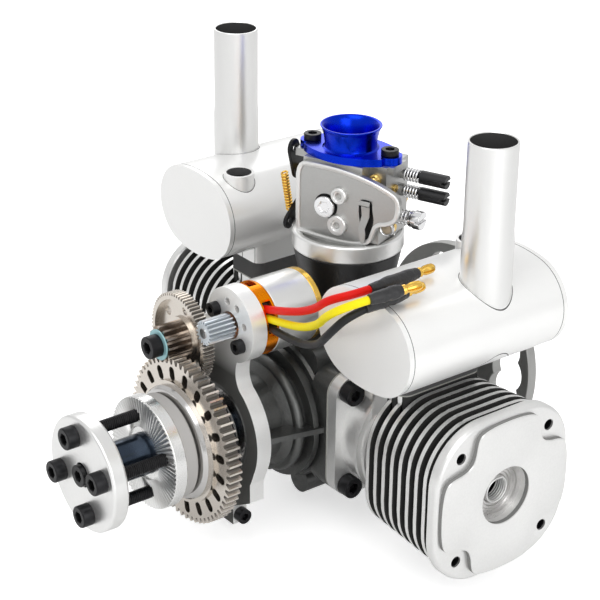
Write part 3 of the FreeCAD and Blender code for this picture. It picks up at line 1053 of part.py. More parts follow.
# Motor leads, each with a heat-shrink sleeve and a bullet connector
def cord(name, points):
    """Round lead of straight runs joined by tangent arcs."""
    points = [V(*p) for p in points]
    edges = []
    at = points[0]
    for before, corner, after in zip(points, points[1:], points[2:]):
        back, on = (before - corner), (after - corner)
        half_turn = (math.pi - back.getAngle(on)) / 2
        set_back = 0.45 * min(back.Length, on.Length)
        start, end = corner + back.normalize() * set_back, corner + on.normalize() * set_back
        radius = set_back / math.tan(half_turn)
        bisector = (back + on).normalize()
        middle = corner + bisector * (radius / math.cos(half_turn) - radius)
        edges += [Part.LineSegment(at, start).toShape(), Part.Arc(start, middle, end).toShape()]
        at = end
        print("cord", name, "turn", round(math.degrees(half_turn) * 2, 1), "radius", round(radius, 1))
    edges.append(Part.LineSegment(at, points[-1]).toShape())
    wire = Part.Wire(edges)
    print("cord", name, "length", round(wire.Length, 1))
    first = Part.Wire(Part.makeCircle(LEAD_R, points[0], points[1] - points[0]))
    return wire.makePipeShell([first], True, False)


sleeves = []
bullets = []
for name, points in LEADS.items():
    tail, tip = V(*points[-2]), V(*points[-1])
    along = (tip - tail).normalize()
    lead_end = tail + along * (SLEEVE_FROM_BEND + SLEEVE_OVERLAP)
    save("lead_" + name, cord(name, points[:-1] + (tuple(lead_end),)))
    sleeve_start = lead_end - along * SLEEVE_OVERLAP
    sleeve = Part.makeCylinder(SLEEVE_R, (tip - sleeve_start).Length, sleeve_start, along)
    sleeves.append(sleeve.cut(Part.makeCylinder(LEAD_R, SLEEVE_OVERLAP, sleeve_start, along)))
    bullet = Part.makeCylinder(BULLET_R, BULLET_LENGTH, tip, along)
    bullets.append(bullet.cut(Part.makeCylinder(0.7, 4, tip + along * 4, along)))
save("lead_sleeves", sleeves)
save("lead_connectors", bullets)
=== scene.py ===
"""Looks of a flat-twin model aircraft engine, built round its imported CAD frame.

Every sub-assembly is a class that takes its places from the frame's nodes, builds
finer meshes where the plain solids fall short, and gives each piece its finish.
Lengths are millimetres until a mesh is made, +Z is up and -Y is forward.
"""

import json
import logging
import math
from dataclasses import dataclass, replace
from enum import Enum
from typing import Callable, Iterable, Sequence

import bmesh
import bpy
from mathutils import Matrix, Vector, noise

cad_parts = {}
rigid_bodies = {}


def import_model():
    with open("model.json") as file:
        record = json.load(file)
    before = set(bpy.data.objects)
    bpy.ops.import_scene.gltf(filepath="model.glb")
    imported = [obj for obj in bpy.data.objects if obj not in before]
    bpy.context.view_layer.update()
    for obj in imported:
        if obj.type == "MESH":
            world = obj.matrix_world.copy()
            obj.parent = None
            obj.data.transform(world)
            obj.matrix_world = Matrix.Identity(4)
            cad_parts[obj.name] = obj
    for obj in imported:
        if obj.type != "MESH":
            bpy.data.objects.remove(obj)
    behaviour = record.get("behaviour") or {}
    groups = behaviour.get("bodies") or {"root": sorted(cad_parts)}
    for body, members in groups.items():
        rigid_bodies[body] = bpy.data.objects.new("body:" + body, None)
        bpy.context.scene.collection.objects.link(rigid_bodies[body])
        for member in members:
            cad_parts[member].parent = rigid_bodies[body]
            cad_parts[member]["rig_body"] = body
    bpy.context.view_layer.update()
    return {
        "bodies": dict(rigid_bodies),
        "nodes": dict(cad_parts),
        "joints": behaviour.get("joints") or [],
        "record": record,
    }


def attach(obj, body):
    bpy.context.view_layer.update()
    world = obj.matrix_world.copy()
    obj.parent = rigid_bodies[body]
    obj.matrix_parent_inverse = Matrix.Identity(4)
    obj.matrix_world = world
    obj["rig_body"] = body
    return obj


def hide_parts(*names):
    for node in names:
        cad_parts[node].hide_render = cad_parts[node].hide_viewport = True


LOG = logging.getLogger("engine")
MM = 0.001
UP = Vector((0, 0, 1))
BACK = Vector((0, 1, 0))
FORWARD = Vector((0, -1, 0))
CLOUD_SIZE = 18.0
FIN_SQUARE = 30.0
Spot = tuple[float, float]
Point = tuple[float, float, float]
Loop = Sequence[Vector]
Object = bpy.types.Object
Socket = bpy.types.NodeSocket
Shape = bmesh.types.BMesh
Change = Callable[[Shape], None]


class Body(Enum):
    """Rigid bodies of the frame."""

    ENGINE = "engine"
    CRANK = "crank"
    STARTER_RING = "starter_ring"
    IDLER = "idler"
    ROTOR = "rotor"
    THROTTLE = "throttle"
    CHOKE = "choke"
    HIGH_NEEDLE = "high_needle"
    LOW_NEEDLE = "low_needle"
    IDLE_STOP = "idle_stop"


class Grain(Enum):
    """How a surface's marks are squeezed along X, Y and Z."""

    EVEN = (1.0, 1.0, 1.0)
    LATHE_Y = (0.25, 6.0, 0.25)
    BRUSHED_Z = (5.0, 5.0, 0.12)


class Graph:
    """A node tree that is built in steps, with places given in millimetres."""

    def __init__(self, tree: bpy.types.NodeTree) -> None:
        """Build on a tree."""
        self.tree = tree

    def feed(self, node: bpy.types.Node, inputs: dict) -> bpy.types.Node:
        """Wire or set a node's inputs.

        Args:
            node: The node.
            inputs: Sockets or plain values by input name or index.

        Returns:
            The node.
        """
        for key, value in inputs.items():
            if isinstance(value, Socket):
                self.tree.links.new(value, node.inputs[key])
            else:
                node.inputs[key].default_value = value
        return node

    def add(self, kind: str, inputs: dict | None = None, **settings) -> bpy.types.Node:
        """Add a node.

        Args:
            kind: Node type.
            inputs: Sockets or plain values by input name or index.
            **settings: Properties of the node.

        Returns:
            The node.
        """
        node = self.tree.nodes.new(kind)
        for key, value in settings.items():
            setattr(node, key, value)
        return self.feed(node, inputs or {})

    def calc(self, operation: str, *values: Socket | float) -> Socket:
        """Return a Math node's output, its inputs given in order."""
        return self.add("ShaderNodeMath", dict(enumerate(values)), operation=operation).outputs[0]

    def offset(self, value: Socket, place: float) -> Socket:
        """Return how far a length is past a place."""
        return self.calc("SUBTRACT", value, place * MM)

    def under(self, value: Socket, limit: float) -> Socket:
        """Return 1 where a length is under a limit, else 0."""
        return self.calc("LESS_THAN", value, limit * MM)

    def over(self, value: Socket, limit: float) -> Socket:
        """Return 1 where a length is over a limit, else 0."""
        return self.calc("GREATER_THAN", value, limit * MM)

    def outside(self, value: Socket, low: float, high: float) -> Socket:
        """Return 0 where a length is between two limits, else 1."""
        return self.calc("MAXIMUM", self.under(value, low), self.over(value, high))

    def reach(self, first: Socket, second: Socket, axis: Spot) -> Socket:
        """Measure the distance from an axis.

        Args:
            first: One coordinate across the axis.
            second: The other.
            axis: Where the axis is in them.

        Returns:
            The distance, in metres.
        """
        offsets = (self.offset(first, axis[0]), self.offset(second, axis[1]))
        squares = [self.calc("MULTIPLY", v, v) for v in offsets]
        return self.calc("SQRT", self.calc("ADD", *squares))

    def share(self, value: Socket, low: float, high: float, start: float = 0.0, end: float = 1.0) -> Socket:
        """Return start where a value is at low, end where it is at high, and between them in between."""
        inputs = {"Value": value, "From Min": low, "From Max": high, "To Min": start, "To Max": end}
        return self.add("ShaderNodeMapRange", inputs).outputs["Result"]

    def ramp(self, value: Socket, *stops: tuple[float, Point]) -> Socket:
        """Run a value through two colours.

        Args:
            value: The value.
            *stops: Place and colour of each end.

        Returns:
            The colour.
        """
        node = self.add("ShaderNodeValToRGB", {"Fac": value})
        for element, (place, color) in zip(node.color_ramp.elements, stops):
            element.position = place
            element.color = (*color, 1)
        return node.outputs["Color"]


class Mask:
    """Tells the bare places of a surface from the ones painted dark, mostly as painted shade."""

    def bare(self, graph: Graph, at: Sequence[Socket]) -> Socket:
        """Tell where the surface is bare.

        Args:
            graph: Node tree of the material.
            at: X, Y and Z of the place.

        Returns:
            1 where the surface is bare and 0 where it is dark.
        """
        raise NotImplementedError


@dataclass(frozen=True)
class FinGapShade(Mask):
    """Cooling fins that are bright at their edges, with painted shade in the gaps between them.

    Attributes:
        axis_y: Place of the cylinder's axis along the crank.
        first: Distance from the crank at which the fins begin.
        last: Distance at which they end.
        depth: Distance from the axis at which the bright edge begins.
        fin_x: Middle of the first fin.
        pitch: Distance between two fins.
        edge_t: Width of a fin's bright edge, to each side of its middle.
    """

    axis_y: float
    first: float = 57.4
    last: float = 95.5
    depth: float = 27.6
    fin_x: float = 59.2
    pitch: float = 4.75
    edge_t: float = 0.85

    def bare(self, graph: Graph, at: Sequence[Socket]) -> Socket:
        """Return 0 in the gaps between the fins, where shade is painted; the arguments are Mask's."""
        across = graph.calc("ABSOLUTE", graph.offset(at[1], self.axis_y))
        high = graph.calc("ABSOLUTE", at[2])
        powers = [graph.calc("POWER", graph.calc("DIVIDE", v, FIN_SQUARE * MM), 4.0) for v in (across, high)]
        reach = graph.calc("POWER", graph.calc("ADD", *powers), 0.25)
        edge = graph.share(reach, (self.depth - 1.2) / FIN_SQUARE, self.depth / FIN_SQUARE)
        out = graph.calc("ABSOLUTE", at[0])
        count = graph.calc("DIVIDE", graph.offset(out, self.fin_x), self.pitch * MM)
        off = graph.calc("ABSOLUTE", graph.calc("SUBTRACT", count, graph.calc("ROUND", count)))
        rim = graph.calc("MINIMUM", edge, graph.calc("LESS_THAN", off, self.edge_t / self.pitch))
        return graph.calc("MAXIMUM", rim, graph.outside(out, self.first, self.last))


@dataclass(frozen=True)
class SeamsAndShade(Mask):
    """Sheet metal with thin dark joint lines, and painted shade in the stub's bore and on the port block
    under the muffler.

    Attributes:
        planes: Places of the straight seams along the crank.
        tube: Place (x, y) of the upright tube.
        stub: Place (x, y) of the pressure stub.
        tube_r: Radius of the seam round the tube.
        stub_r: Radius of the seam round the stub.
        bore_r: Radius of the stub's bore, painted dark as shade.
        bore_floor: Height of the bore's floor.
        block: Height range in which the port block, under the muffler, gets painted shade.
        width: Half width of a line.
    """

    planes: Spot
    tube: Spot
    stub: Spot
    tube_r: float = 9.6
    stub_r: float = 6.4
    bore_r: float = 5.1
    bore_floor: float = 60.0
    block: Spot = (30.0, 37.5)
    width: float = 0.14

    def bare(self, graph: Graph, at: Sequence[Socket]) -> Socket:
        """Return 0 on the joint lines, and where shade is painted in the bore and on the port block; the
        arguments are Mask's.
        """
        gaps = [graph.offset(at[1], y) for y in self.planes]
        for axis, radius in ((self.tube, self.tube_r), (self.stub, self.stub_r)):
            gaps.append(graph.offset(graph.reach(at[0], at[1], axis), radius))
        around = graph.over(graph.reach(at[0], at[1], self.stub), self.bore_r)
        bare = graph.calc("MAXIMUM", around, graph.under(at[2], self.bore_floor))
        for clear in [graph.over(graph.calc("ABSOLUTE", gap), self.width) for gap in gaps]:
            bare = graph.calc("MULTIPLY", bare, clear)
        return graph.calc("MULTIPLY", bare, graph.outside(at[2], *self.block))


@dataclass(frozen=True)
class ToothGapShade(Mask):
    """A gear with painted shade in the gaps between its teeth, and bright lands and faces.

    Attributes:
        axis: Place of the gear's axis, as (x, z).
        root: Radius of the tooth gaps' floor.
        tip: Radius of the teeth's lands.
        faces: Places of the gear's two faces along the crank.
    """

    axis: Spot
    root: float
    tip: float
    faces: Spot

    def bare(self, graph: Graph, at: Sequence[Socket]) -> Socket:
        """Return less towards the gaps' floor, as painted shade, and 1 on the faces; the arguments are
        Mask's.
        """
        reach = graph.reach(at[0], at[2], self.axis)
        depth = graph.share(reach, (self.root + 0.15) * MM, (self.tip - 0.15) * MM, 0.12)
        faces = graph.outside(at[1], self.faces[0] + 0.06, self.faces[1] - 0.06)
        plain = graph.calc("MAXIMUM", faces, graph.under(reach, self.root - 0.15))
        return graph.calc("MAXIMUM", plain, depth)


@dataclass(frozen=True)
class FaceShade(Mask):
    """A front face, square to the crank, with painted shade low down and bright above.

    Attributes:
        face: Place of the face along the crank.
        dark_below: Height under which the face is painted dark as shade.
        bright_above: Height over which it is bright.
    """

    face: float
    dark_below: float = 26.0
    bright_above: float = 42.0

    def bare(self, graph: Graph, at: Sequence[Socket]) -> Socket:
        """Return 0 low on the face, where shade is painted; the arguments are Mask's."""
        rise = graph.share(at[2], self.dark_below * MM, self.bright_above * MM)
        return graph.calc("MAXIMUM", graph.over(at[1], self.face + 0.05), rise)


@dataclass(frozen=True)
class Band(Mask):
    """A darker band between two planes.

    Attributes:
        low: Distance from the origin at which it begins.
        high: Distance at which it ends.
        way: Axis that they are measured along, 0 for X and 1 for Y.
    """

    low: float
    high: float
    way: int = 0

    def bare(self, graph: Graph, at: Sequence[Socket]) -> Socket:
        """Return 0 in the band; the arguments are Mask's."""
        return graph.outside(graph.calc("ABSOLUTE", at[self.way]), self.low, self.high)


@dataclass(frozen=True)
class TubeShade(Mask):
    """A bright upright tube with painted shade on its inside.

    Attributes:
        axis: Place of the tube's axis as (x, y).
        inner: Radius under which the wall is painted dark as shade.
        mouth: Height over which it is bright again.
    """

    axis: Spot
    inner: float = 8.4
    mouth: float = 127.3

    def bare(self, graph: Graph, at: Sequence[Socket]) -> Socket:
        """Return 0 on the inside wall, where shade is painted; the arguments are Mask's."""
        wall = graph.over(graph.reach(at[0], at[1], self.axis), self.inner)
        return graph.calc("MAXIMUM", wall, graph.over(at[2], self.mouth))


@dataclass(frozen=True)
class Finish:
    """One surface finish, made from noise on Object coordinates.

    Attributes:
        name: Material name.
        color: Linear base colour.
        metallic: 0 or 1, or between for a satin coat.
        roughness: Middle of the roughness range.
        spread: How far roughness wanders.
        tone: Share by which the colour darkens in the noise's valleys.
        grain_size: Size of a mark.
        relief: Strength of the bump.
        slot: Material slot of the record.
        grain: Direction of the marks.
        coat: Clear coat weight.
        shine: Specular level.
        mask: Tells the places painted dark, if there are any: mostly painted shade, and the mufflers' joint
            lines.
        dark: Linear colour of those places.
    """

    name: str
    color: Point
    metallic: float
    roughness: float
    spread: float
    tone: float
    grain_size: float
    relief: float
    # slot: Name of a material slot; not used.
    slot: str = ""
    grain: Grain = Grain.EVEN
    coat: float = 0.0
    shine: float = 0.5
    mask: Mask | None = None
    dark: Point = (0.02, 0.02, 0.02)

    def material(self) -> bpy.types.Material:
        """Make the finish's node material, once.

        Returns:
            The material.
        """
        found = bpy.data.materials.get(self.name)
        if found:
            return found
        made = bpy.data.materials.new(self.name)
        made.use_nodes = True
        graph = Graph(made.node_tree)
        place = graph.add("ShaderNodeTexCoord").outputs["Object"]
        turn = graph.add("ShaderNodeMapping", {"Vector": place, "Scale": self.grain.value})
        marks = graph.add("ShaderNodeTexNoise", {"Vector": turn.outputs["Vector"], "Detail": 4.0,
                                                 "Scale": 1.0 / (self.grain_size * MM)})
        cloud = graph.add("ShaderNodeTexNoise", {"Vector": place, "Detail": 2.0,
                                                 "Scale": 1.0 / (CLOUD_SIZE * MM)})
        half = graph.calc("MULTIPLY", cloud.outputs["Fac"], 0.5)
        mix = graph.calc("MULTIPLY_ADD", marks.outputs["Fac"], 0.5, half)
        color = graph.ramp(mix, (0.3, tuple(c * (1 - self.tone) for c in self.color)), (0.7, self.color))
        rough = (max(self.roughness - self.spread, 0.02), min(self.roughness + self.spread, 1.0))
        bump = graph.add("ShaderNodeBump", {"Height": marks.outputs["Fac"], "Strength": self.relief,
                                            "Distance": self.grain_size * MM})
        metallic, shine = self.metallic, self.shine
        # Where the mask tells, the colour turns dark and loses metal and shine: mostly painted shade.
        if self.mask:
            split = graph.add("ShaderNodeSeparateXYZ", {0: place})
            bare = self.mask.bare(graph, split.outputs)
            mixed = graph.add("ShaderNodeMix", {0: bare, 6: (*self.dark, 1), 7: color}, data_type="RGBA")
            color = mixed.outputs[2]
            metallic, shine = (graph.calc("MULTIPLY", bare, v) for v in (metallic, shine))
        graph.feed(made.node_tree.nodes["Principled BSDF"], {
            "Base Color": color, "Metallic": metallic, "Specular IOR Level": shine, "Coat Weight": self.coat,
            "Coat Roughness": 0.08, "Roughness": graph.share(mix, 0.0, 1.0, *rough),
            "Normal": bump.outputs[0]})
        return made


AXES = {"right": (1, -71.7), "left": (-1, -54.7)}
IDLER_AXIS = (-11.364, 36.261)
RIGHT_PIPE, LEFT_PIPE = (79.7, -66.0), (-79.7, -60.4)
LATHE = Grain.LATHE_Y
CASTING = Finish("case_grey", (0.13, 0.133, 0.13), 0.85, 0.34, 0.08, 0.14, 0.9, 0.16, "case")
CYLINDER = Finish("bright_casting", (0.84, 0.84, 0.83), 0.8, 0.34, 0.08, 0.08, 0.8, 0.08, "cylinder")
HEAD_PAD = replace(CYLINDER, name="head_pad", dark=(0.22, 0.22, 0.215), mask=Band(97.0, 102.2))
# Painted shade in the gaps between the fins.
CYLINDERS = {side: replace(CYLINDER, name=side + "_fins", dark=(0.045, 0.045, 0.044), mask=FinGapShade(y))
             for side, (_, y) in AXES.items()}
CORE = Finish("machined_seat", (0.62, 0.61, 0.60), 0.9, 0.28, 0.07, 0.08, 0.5, 0.05, "cylinder")
SHEET = Finish("satin_sheet", (0.92, 0.92, 0.91), 0.4, 0.33, 0.05, 0.03, 0.4, 0.02, "muffler",
               dark=(0.10, 0.10, 0.10))
# Real joint lines, and painted shade in the stub's bore and on the port block.
MUFFLERS = {
    "right": replace(SHEET, name="right_sheet", mask=SeamsAndShade((-108.3, -37.7), RIGHT_PIPE, (52.7, -48.0))),
    "left": replace(SHEET, name="left_sheet", mask=SeamsAndShade((-88.7, -18.1), LEFT_PIPE, (-52.7, -78.4)))}
TUBE = Finish("satin_tube", (0.84, 0.84, 0.83), 0.85, 0.32, 0.05, 0.03, 0.5, 0.02, "pipe", Grain.BRUSHED_Z,
              dark=(0.06, 0.06, 0.06))
# Painted shade on the pipes' inside wall.
PIPES = {"right": replace(TUBE, name="right_tube", mask=TubeShade(RIGHT_PIPE)),
         "left": replace(TUBE, name="left_tube", mask=TubeShade(LEFT_PIPE))}
TURNED = Finish("turned_aluminium", (0.86, 0.86, 0.85), 0.9, 0.30, 0.07, 0.05, 0.5, 0.05, "bright", LATHE)
# Painted shade on the hub's drum behind its flange.
HUB = replace(TURNED, name="hub_drum", roughness=0.26, dark=(0.42, 0.41, 0.40), mask=Band(148.0, 154.4, 1))
BLACK_OXIDE = Finish("black_oxide", (0.022, 0.022, 0.024), 0.7, 0.36, 0.1, 0.3, 0.4, 0.06, "black_screw")
# Painted shade in the tooth gaps of the gears.
RING_GEAR = Finish("ring_gear_nickel", (0.72, 0.67, 0.61), 1.0, 0.24, 0.05, 0.05, 0.6, 0.02, "gear",
                   mask=ToothGapShade((0, 0), 30.8, 33.0, (-144.1, -138.5)), dark=(0.05, 0.045, 0.04))
WHEEL = replace(RING_GEAR, name="wheel_nickel", mask=ToothGapShade(IDLER_AXIS, 16.9, 18.0, (-136.7, -131.9)))
PINION = Finish("pinion_satin", (0.78, 0.83, 0.88), 0.85, 0.3, 0.05, 0.04, 0.5, 0.02, "chrome",
                mask=ToothGapShade((7.841, 46.472), 3.65, 4.75, (-137.8, -126.4)), dark=(0.22, 0.25, 0.28))
BRONZE = Finish("dark_bronze", (0.38, 0.33, 0.29), 1.0, 0.24, 0.06, 0.1, 0.5, 0.02, "dark_gear",
                mask=ToothGapShade(IDLER_AXIS, 4.8, 7.0, (-144.7, -144.6)), dark=(0.02, 0.016, 0.013))
# Painted shade low on the plate's front face.
FRONT_PLATE = Finish("starter_plate", (0.93, 0.93, 0.92), 0.6, 0.38, 0.06, 0.06, 0.5, 0.03, "plate",
                     mask=FaceShade(-125.9), dark=(0.11, 0.11, 0.105))
STEEL = Finish("polished_steel", (0.62, 0.61, 0.60), 1.0, 0.16, 0.05, 0.06, 0.4, 0.02, "steel", LATHE)
CHROME = Finish("chrome", (0.90, 0.90, 0.91), 1.0, 0.07, 0.03, 0.03, 0.6, 0.01, "chrome")
BLUE = Finish("blue_anodised", (0.002, 0.03, 0.60), 1.0, 0.27, 0.03, 0.06, 0.5, 0.004, "blue", coat=0.05)
ORANGE = Finish("orange_anodised", (0.95, 0.27, 0.002), 1.0, 0.26, 0.05, 0.08, 0.5, 0.02, "orange", LATHE)
GOLD = Finish("gold_plate", (0.92, 0.58, 0.12), 1.0, 0.22, 0.06, 0.1, 0.5, 0.03, "gold")
SHAFT = Finish("blued_shaft", (0.035, 0.05, 0.075), 0.8, 0.22, 0.05, 0.15, 0.5, 0.02, "shaft", LATHE)
GASKET = Finish("gasket_fibre", (0.40, 0.40, 0.37), 0.0, 0.8, 0.1, 0.2, 0.5, 0.1, "gasket")
BLACK_PLASTIC = Finish("black_moulding", (0.012, 0.012, 0.013), 0.0, 0.42, 0.1, 0.25, 0.8, 0.08,
                       "black_plastic")
CARB = Finish("carb_die_casting", (0.50, 0.50, 0.49), 0.85, 0.36, 0.08, 0.12, 0.7, 0.1, "carb")
COVER = Finish("cover_die_casting", (0.50, 0.50, 0.49), 0.85, 0.36, 0.07, 0.1, 0.7, 0.06, "cover")
# The cover's casting in a brighter colour: painted highlight on the raised border and on the bosses.
COVER_HIGHLIGHT = Finish("cover_border", (0.80, 0.80, 0.79), 0.85, 0.3, 0.05, 0.05, 0.5, 0.02, "cover")
REAR = Finish("rear_plate_grey", (0.42, 0.42, 0.41), 0.8, 0.42, 0.07, 0.08, 0.8, 0.06, "rear")
RED = Finish("red_silicone", (0.78, 0.006, 0.002), 0.0, 0.45, 0.06, 0.12, 0.7, 0.03, "red_lead", shine=0.2)
YELLOW = Finish("yellow_silicone", (0.93, 0.78, 0.004), 0.0, 0.45, 0.06, 0.1, 0.7, 0.03, "yellow_lead",
                shine=0.2)
BLACK_LEAD = Finish("black_silicone", (0.010, 0.010, 0.011), 0.0, 0.45, 0.08, 0.2, 0.7, 0.04, "black_lead",
                    shine=0.3)
TEAL = Finish("teal_clip", (0.35, 0.62, 0.66), 0.3, 0.3, 0.06, 0.1, 0.5, 0.02, "steel")
BRASS = Finish("brass", (0.80, 0.55, 0.18), 1.0, 0.2, 0.06, 0.1, 0.5, 0.03)
BEIGE = Finish("beige_seat", (0.55, 0.45, 0.32), 0.0, 0.5, 0.08, 0.1, 0.5, 0.05)
SLEEVE = Finish("heat_shrink", (0.02, 0.02, 0.022), 0.0, 0.42, 0.1, 0.25, 1.2, 0.25, "sleeve")


def dress(obj: Object, finish: Finish) -> None:
    """Give a piece its only material.

    Args:
        obj: Mesh or curve object.
        finish: Finish of the whole piece.
    """
    obj.data.materials.clear()
    obj.data.materials.append(finish.material())


def smooth(obj: Object, degrees: float = 32.0) -> None:
    """Shade a mesh smooth, with sharp edges past an angle.

    Args:
        obj: Mesh object.
        degrees: Angle past which an edge stays sharp.
    """
    shape = bmesh.new()
    shape.from_mesh(obj.data)
    limit = math.radians(degrees)
    for face in shape.faces:
        face.smooth = True
    for edge in shape.edges:
        edge.smooth = len(edge.link_faces) == 2 and edge.calc_face_angle(0.0) < limit
    shape.to_mesh(obj.data)
    shape.free()


def soften(obj: Object, width: float) -> None:
    """Round a mesh's sharp edges with a bevel.

    Args:
        obj: Mesh object.
        width: Bevel width.
    """
    bevel = obj.modifiers.new("soft_edges", "BEVEL")
    bevel.width = width * MM
    bevel.segments = 2
    bevel.limit_method = "ANGLE"
    bevel.angle_limit = math.radians(35)
    bevel.use_clamp_overlap = True
    obj.modifiers.new("even_shading", "WEIGHTED_NORMAL").keep_sharp = True


def linked(name: str, data: bpy.types.ID) -> Object:
    """Put data into the scene as an object at the origin.

    Args:
        name: Object name.
        data: Mesh, curve, camera or lamp.

    Returns:
        The object.
    """
    obj = bpy.data.objects.new(name, data)
    bpy.context.scene.collection.objects.link(obj)
    return obj


def new_piece(name: str, shape: Shape) -> Object:
    """Turn a bmesh into an object at the origin, and free the bmesh.

    Args:
        name: Piece name.
        shape: The mesh, in metres.

    Returns:
        The new object.
    """
    mesh = bpy.data.meshes.new(name)
    shape.to_mesh(mesh)
    shape.free()
    return linked(name, mesh)


def local(start: Vector, way: Vector) -> Matrix:
    """Return the matrix that takes the origin to start and the Z axis to a direction."""
    return Matrix.Translation(start) @ way.to_track_quat("Z", "Y").to_matrix().to_4x4()


class Tree(Graph):
    """A Geometry Nodes tree, baked into a plain mesh."""

    def __init__(self, name: str) -> None:
        """Start an empty tree.

        Args:
            name: Tree name.
        """
        super().__init__(bpy.data.node_groups.new(name, "GeometryNodeTree"))
        for way in ("INPUT", "OUTPUT"):
            self.tree.interface.new_socket("Geometry", in_out=way, socket_type="NodeSocketGeometry")
        self.start = self.tree.nodes.new("NodeGroupInput")
        self.end = self.tree.nodes.new("NodeGroupOutput")

    def size(self, name: str, kind: str = "Float") -> Socket:
        """Add an input and return the socket that carries its value inside the tree."""
        self.tree.interface.new_socket(name, in_out="INPUT", socket_type="NodeSocket" + kind)
        return self.start.outputs[name]

    def close(self, geometry: Socket) -> None:
        """End the tree with realised instances and a material input.

        Args:
            geometry: What the tree has made.
        """
        finish = self.size("Finish", "Material")
        real = self.add("GeometryNodeRealizeInstances", {"Geometry": geometry})
        done = self.add("GeometryNodeSetMaterial", {"Geometry": real.outputs[0], "Material": finish})
        self.feed(self.end, {0: done.outputs[0]})

    def bake(self, name: str, values: dict, finish: Finish, place: Matrix) -> Object:
        """Run the tree once and keep its mesh.

        Args:
            name: Piece name.
            values: Input values by name.
            finish: Material of the mesh.
            place: Where the mesh goes, in metres.

        Returns:
            A plain mesh object at the origin.
        """
        host = linked(name + "_host", bpy.data.meshes.new(name + "_host"))
        modifier = host.modifiers.new("tree", "NODES")
        modifier.node_group = self.tree
        items = self.tree.interface.items_tree
        names = {item.name: item.identifier for item in items if item.in_out == "INPUT"}
        for key, value in {**values, "Finish": finish.material()}.items():
            modifier[names[key]] = value
        graph = bpy.context.evaluated_depsgraph_get()
        mesh = bpy.data.meshes.new_from_object(host.evaluated_get(graph))
        bpy.data.objects.remove(host)
        mesh.name = name
        mesh.transform(place)
        return linked(name, mesh)


class Coil(Tree):
    """A wire wound into a helix along Z, for springs and threads."""

    def __init__(self) -> None:
        """Lay the tree out."""
        super().__init__("coil")
        turns, height, radius = (self.size(name) for name in ("Turns", "Height", "Radius"))
        wire = self.size("Wire Radius")
        sides, steps = self.size("Wire Sides", "Int"), self.size("Steps", "Int")
        helix = self.add("GeometryNodeCurveSpiral", {"Resolution": steps, "Rotations": turns,
                                                     "Height": height, "Start Radius": radius,
                                                     "End Radius": radius})
        section = self.add("GeometryNodeCurvePrimitiveCircle", {"Resolution": sides, "Radius": wire})
        swept = self.add("GeometryNodeCurveToMesh", {"Curve": helix.outputs[0], "Fill Caps": True,
                                                     "Profile Curve": section.outputs[0]})
        self.close(swept.outputs[0])

    def wind(self, name: str, start: Vector, way: Vector, height: float, turns: float, radius: float,
             wire: float, finish: Finish, sides: int = 10, steps: int = 32) -> Object:
        """Wind a coil.

        Args:
            name: Piece name.
            start: Where its axis begins.
            way: Direction of the axis.
            height: Length along the axis.
            turns: Number of turns.
            radius: Distance of the wire's middle from the axis.
            wire: Radius of the wire.
            finish: Material of the mesh.
            sides: Faces round the wire.
            steps: Faces along one turn.

        Returns:
            The coil.
        """
        values = {"Turns": turns, "Height": height * MM, "Radius": radius * MM, "Wire Radius": wire * MM,
                  "Wire Sides": sides, "Steps": steps}
        return self.bake(name, values, finish, local(start * MM, way))


class Repeat(Tree):
    """One shape repeated round the Z axis."""

    def __init__(self) -> None:
        """Lay the tree out."""
        super().__init__("radial_repeat")
        shape, count, radius = self.size("Shape", "Object"), self.size("Count", "Int"), self.size("Radius")
        ring = self.add("GeometryNodeMeshCircle", {"Vertices": count, "Radius": radius})
        info = self.add("GeometryNodeObjectInfo", {"Object": shape})
        share = self.calc("DIVIDE", self.add("GeometryNodeInputIndex").outputs[0], count)
        turn = self.add("ShaderNodeCombineXYZ", {"Z": self.calc("MULTIPLY", share, math.tau)})
        inputs = {"Points": ring.outputs[0], "Rotation": turn.outputs[0],
                  "Instance": info.outputs["Geometry"]}
        self.close(self.add("GeometryNodeInstanceOnPoints", inputs).outputs[0])


def loft(rings: Sequence[Loop], closed: bool = True) -> Shape:
    """Join rings of equal length into a skin.

    Args:
        rings: Closed rings of points.
        closed: Whether the first and the last ring get a face.

    Returns:
        The mesh, in metres.
    """
    shape = bmesh.new()
    rows = [[shape.verts.new(point * MM) for point in ring] for ring in rings]
    count = len(rows[0])
    for low, high in zip(rows, rows[1:]):
        for i in range(count):
            shape.faces.new((low[i], low[(i + 1) % count], high[(i + 1) % count], high[i]))
    if closed:
        shape.faces.new(rows[0][::-1])
        shape.faces.new(rows[-1])
    return shape


def circle(radius: float, height: float, place: Matrix, steps: int) -> list[Vector]:
    """Return the points of a circle about a local Z axis."""
    turns = (math.tau * i / steps for i in range(steps))
    return [place @ Vector((radius * math.cos(t), radius * math.sin(t), height)) for t in turns]


def hexagon(radius: float, height: float, place: Matrix, steps: int) -> list[Vector]:
    """Make a hexagon with as many points as a circle that it joins.

    Args:
        radius: Distance of its corners from the middle.
        height: Height along the local Z axis.
        place: Matrix of the local frame.
        steps: Number of points.

    Returns:
        The points.
    """
    points = []
    for i in range(steps):
        turn = math.tau * i / steps
        reach = radius * math.cos(math.pi / 6) / math.cos((turn % (math.pi / 3)) - math.pi / 6)
        points.append(place @ Vector((reach * math.cos(turn), reach * math.sin(turn), height)))
    return points


def turned(name: str, profile: Sequence[Spot], start: Vector, way: Vector, steps: int = 96) -> Object:
    """Revolve a closed profile.

    Args:
        name: Piece name.
        profile: Closed loop of (radius, height) pairs, none of radius 0.
        start: Foot of the axis.
        way: Direction of the axis.
        steps: Faces round the axis.

    Returns:
        The piece.
    """
    place = local(start, way)
    rings = [circle(r, h, place, steps) for r, h in profile]
    shape = loft(rings + rings[:1], False)
    bmesh.ops.remove_doubles(shape, verts=shape.verts, dist=1e-7)
    bmesh.ops.recalc_face_normals(shape, faces=shape.faces)
    return new_piece(name, shape)


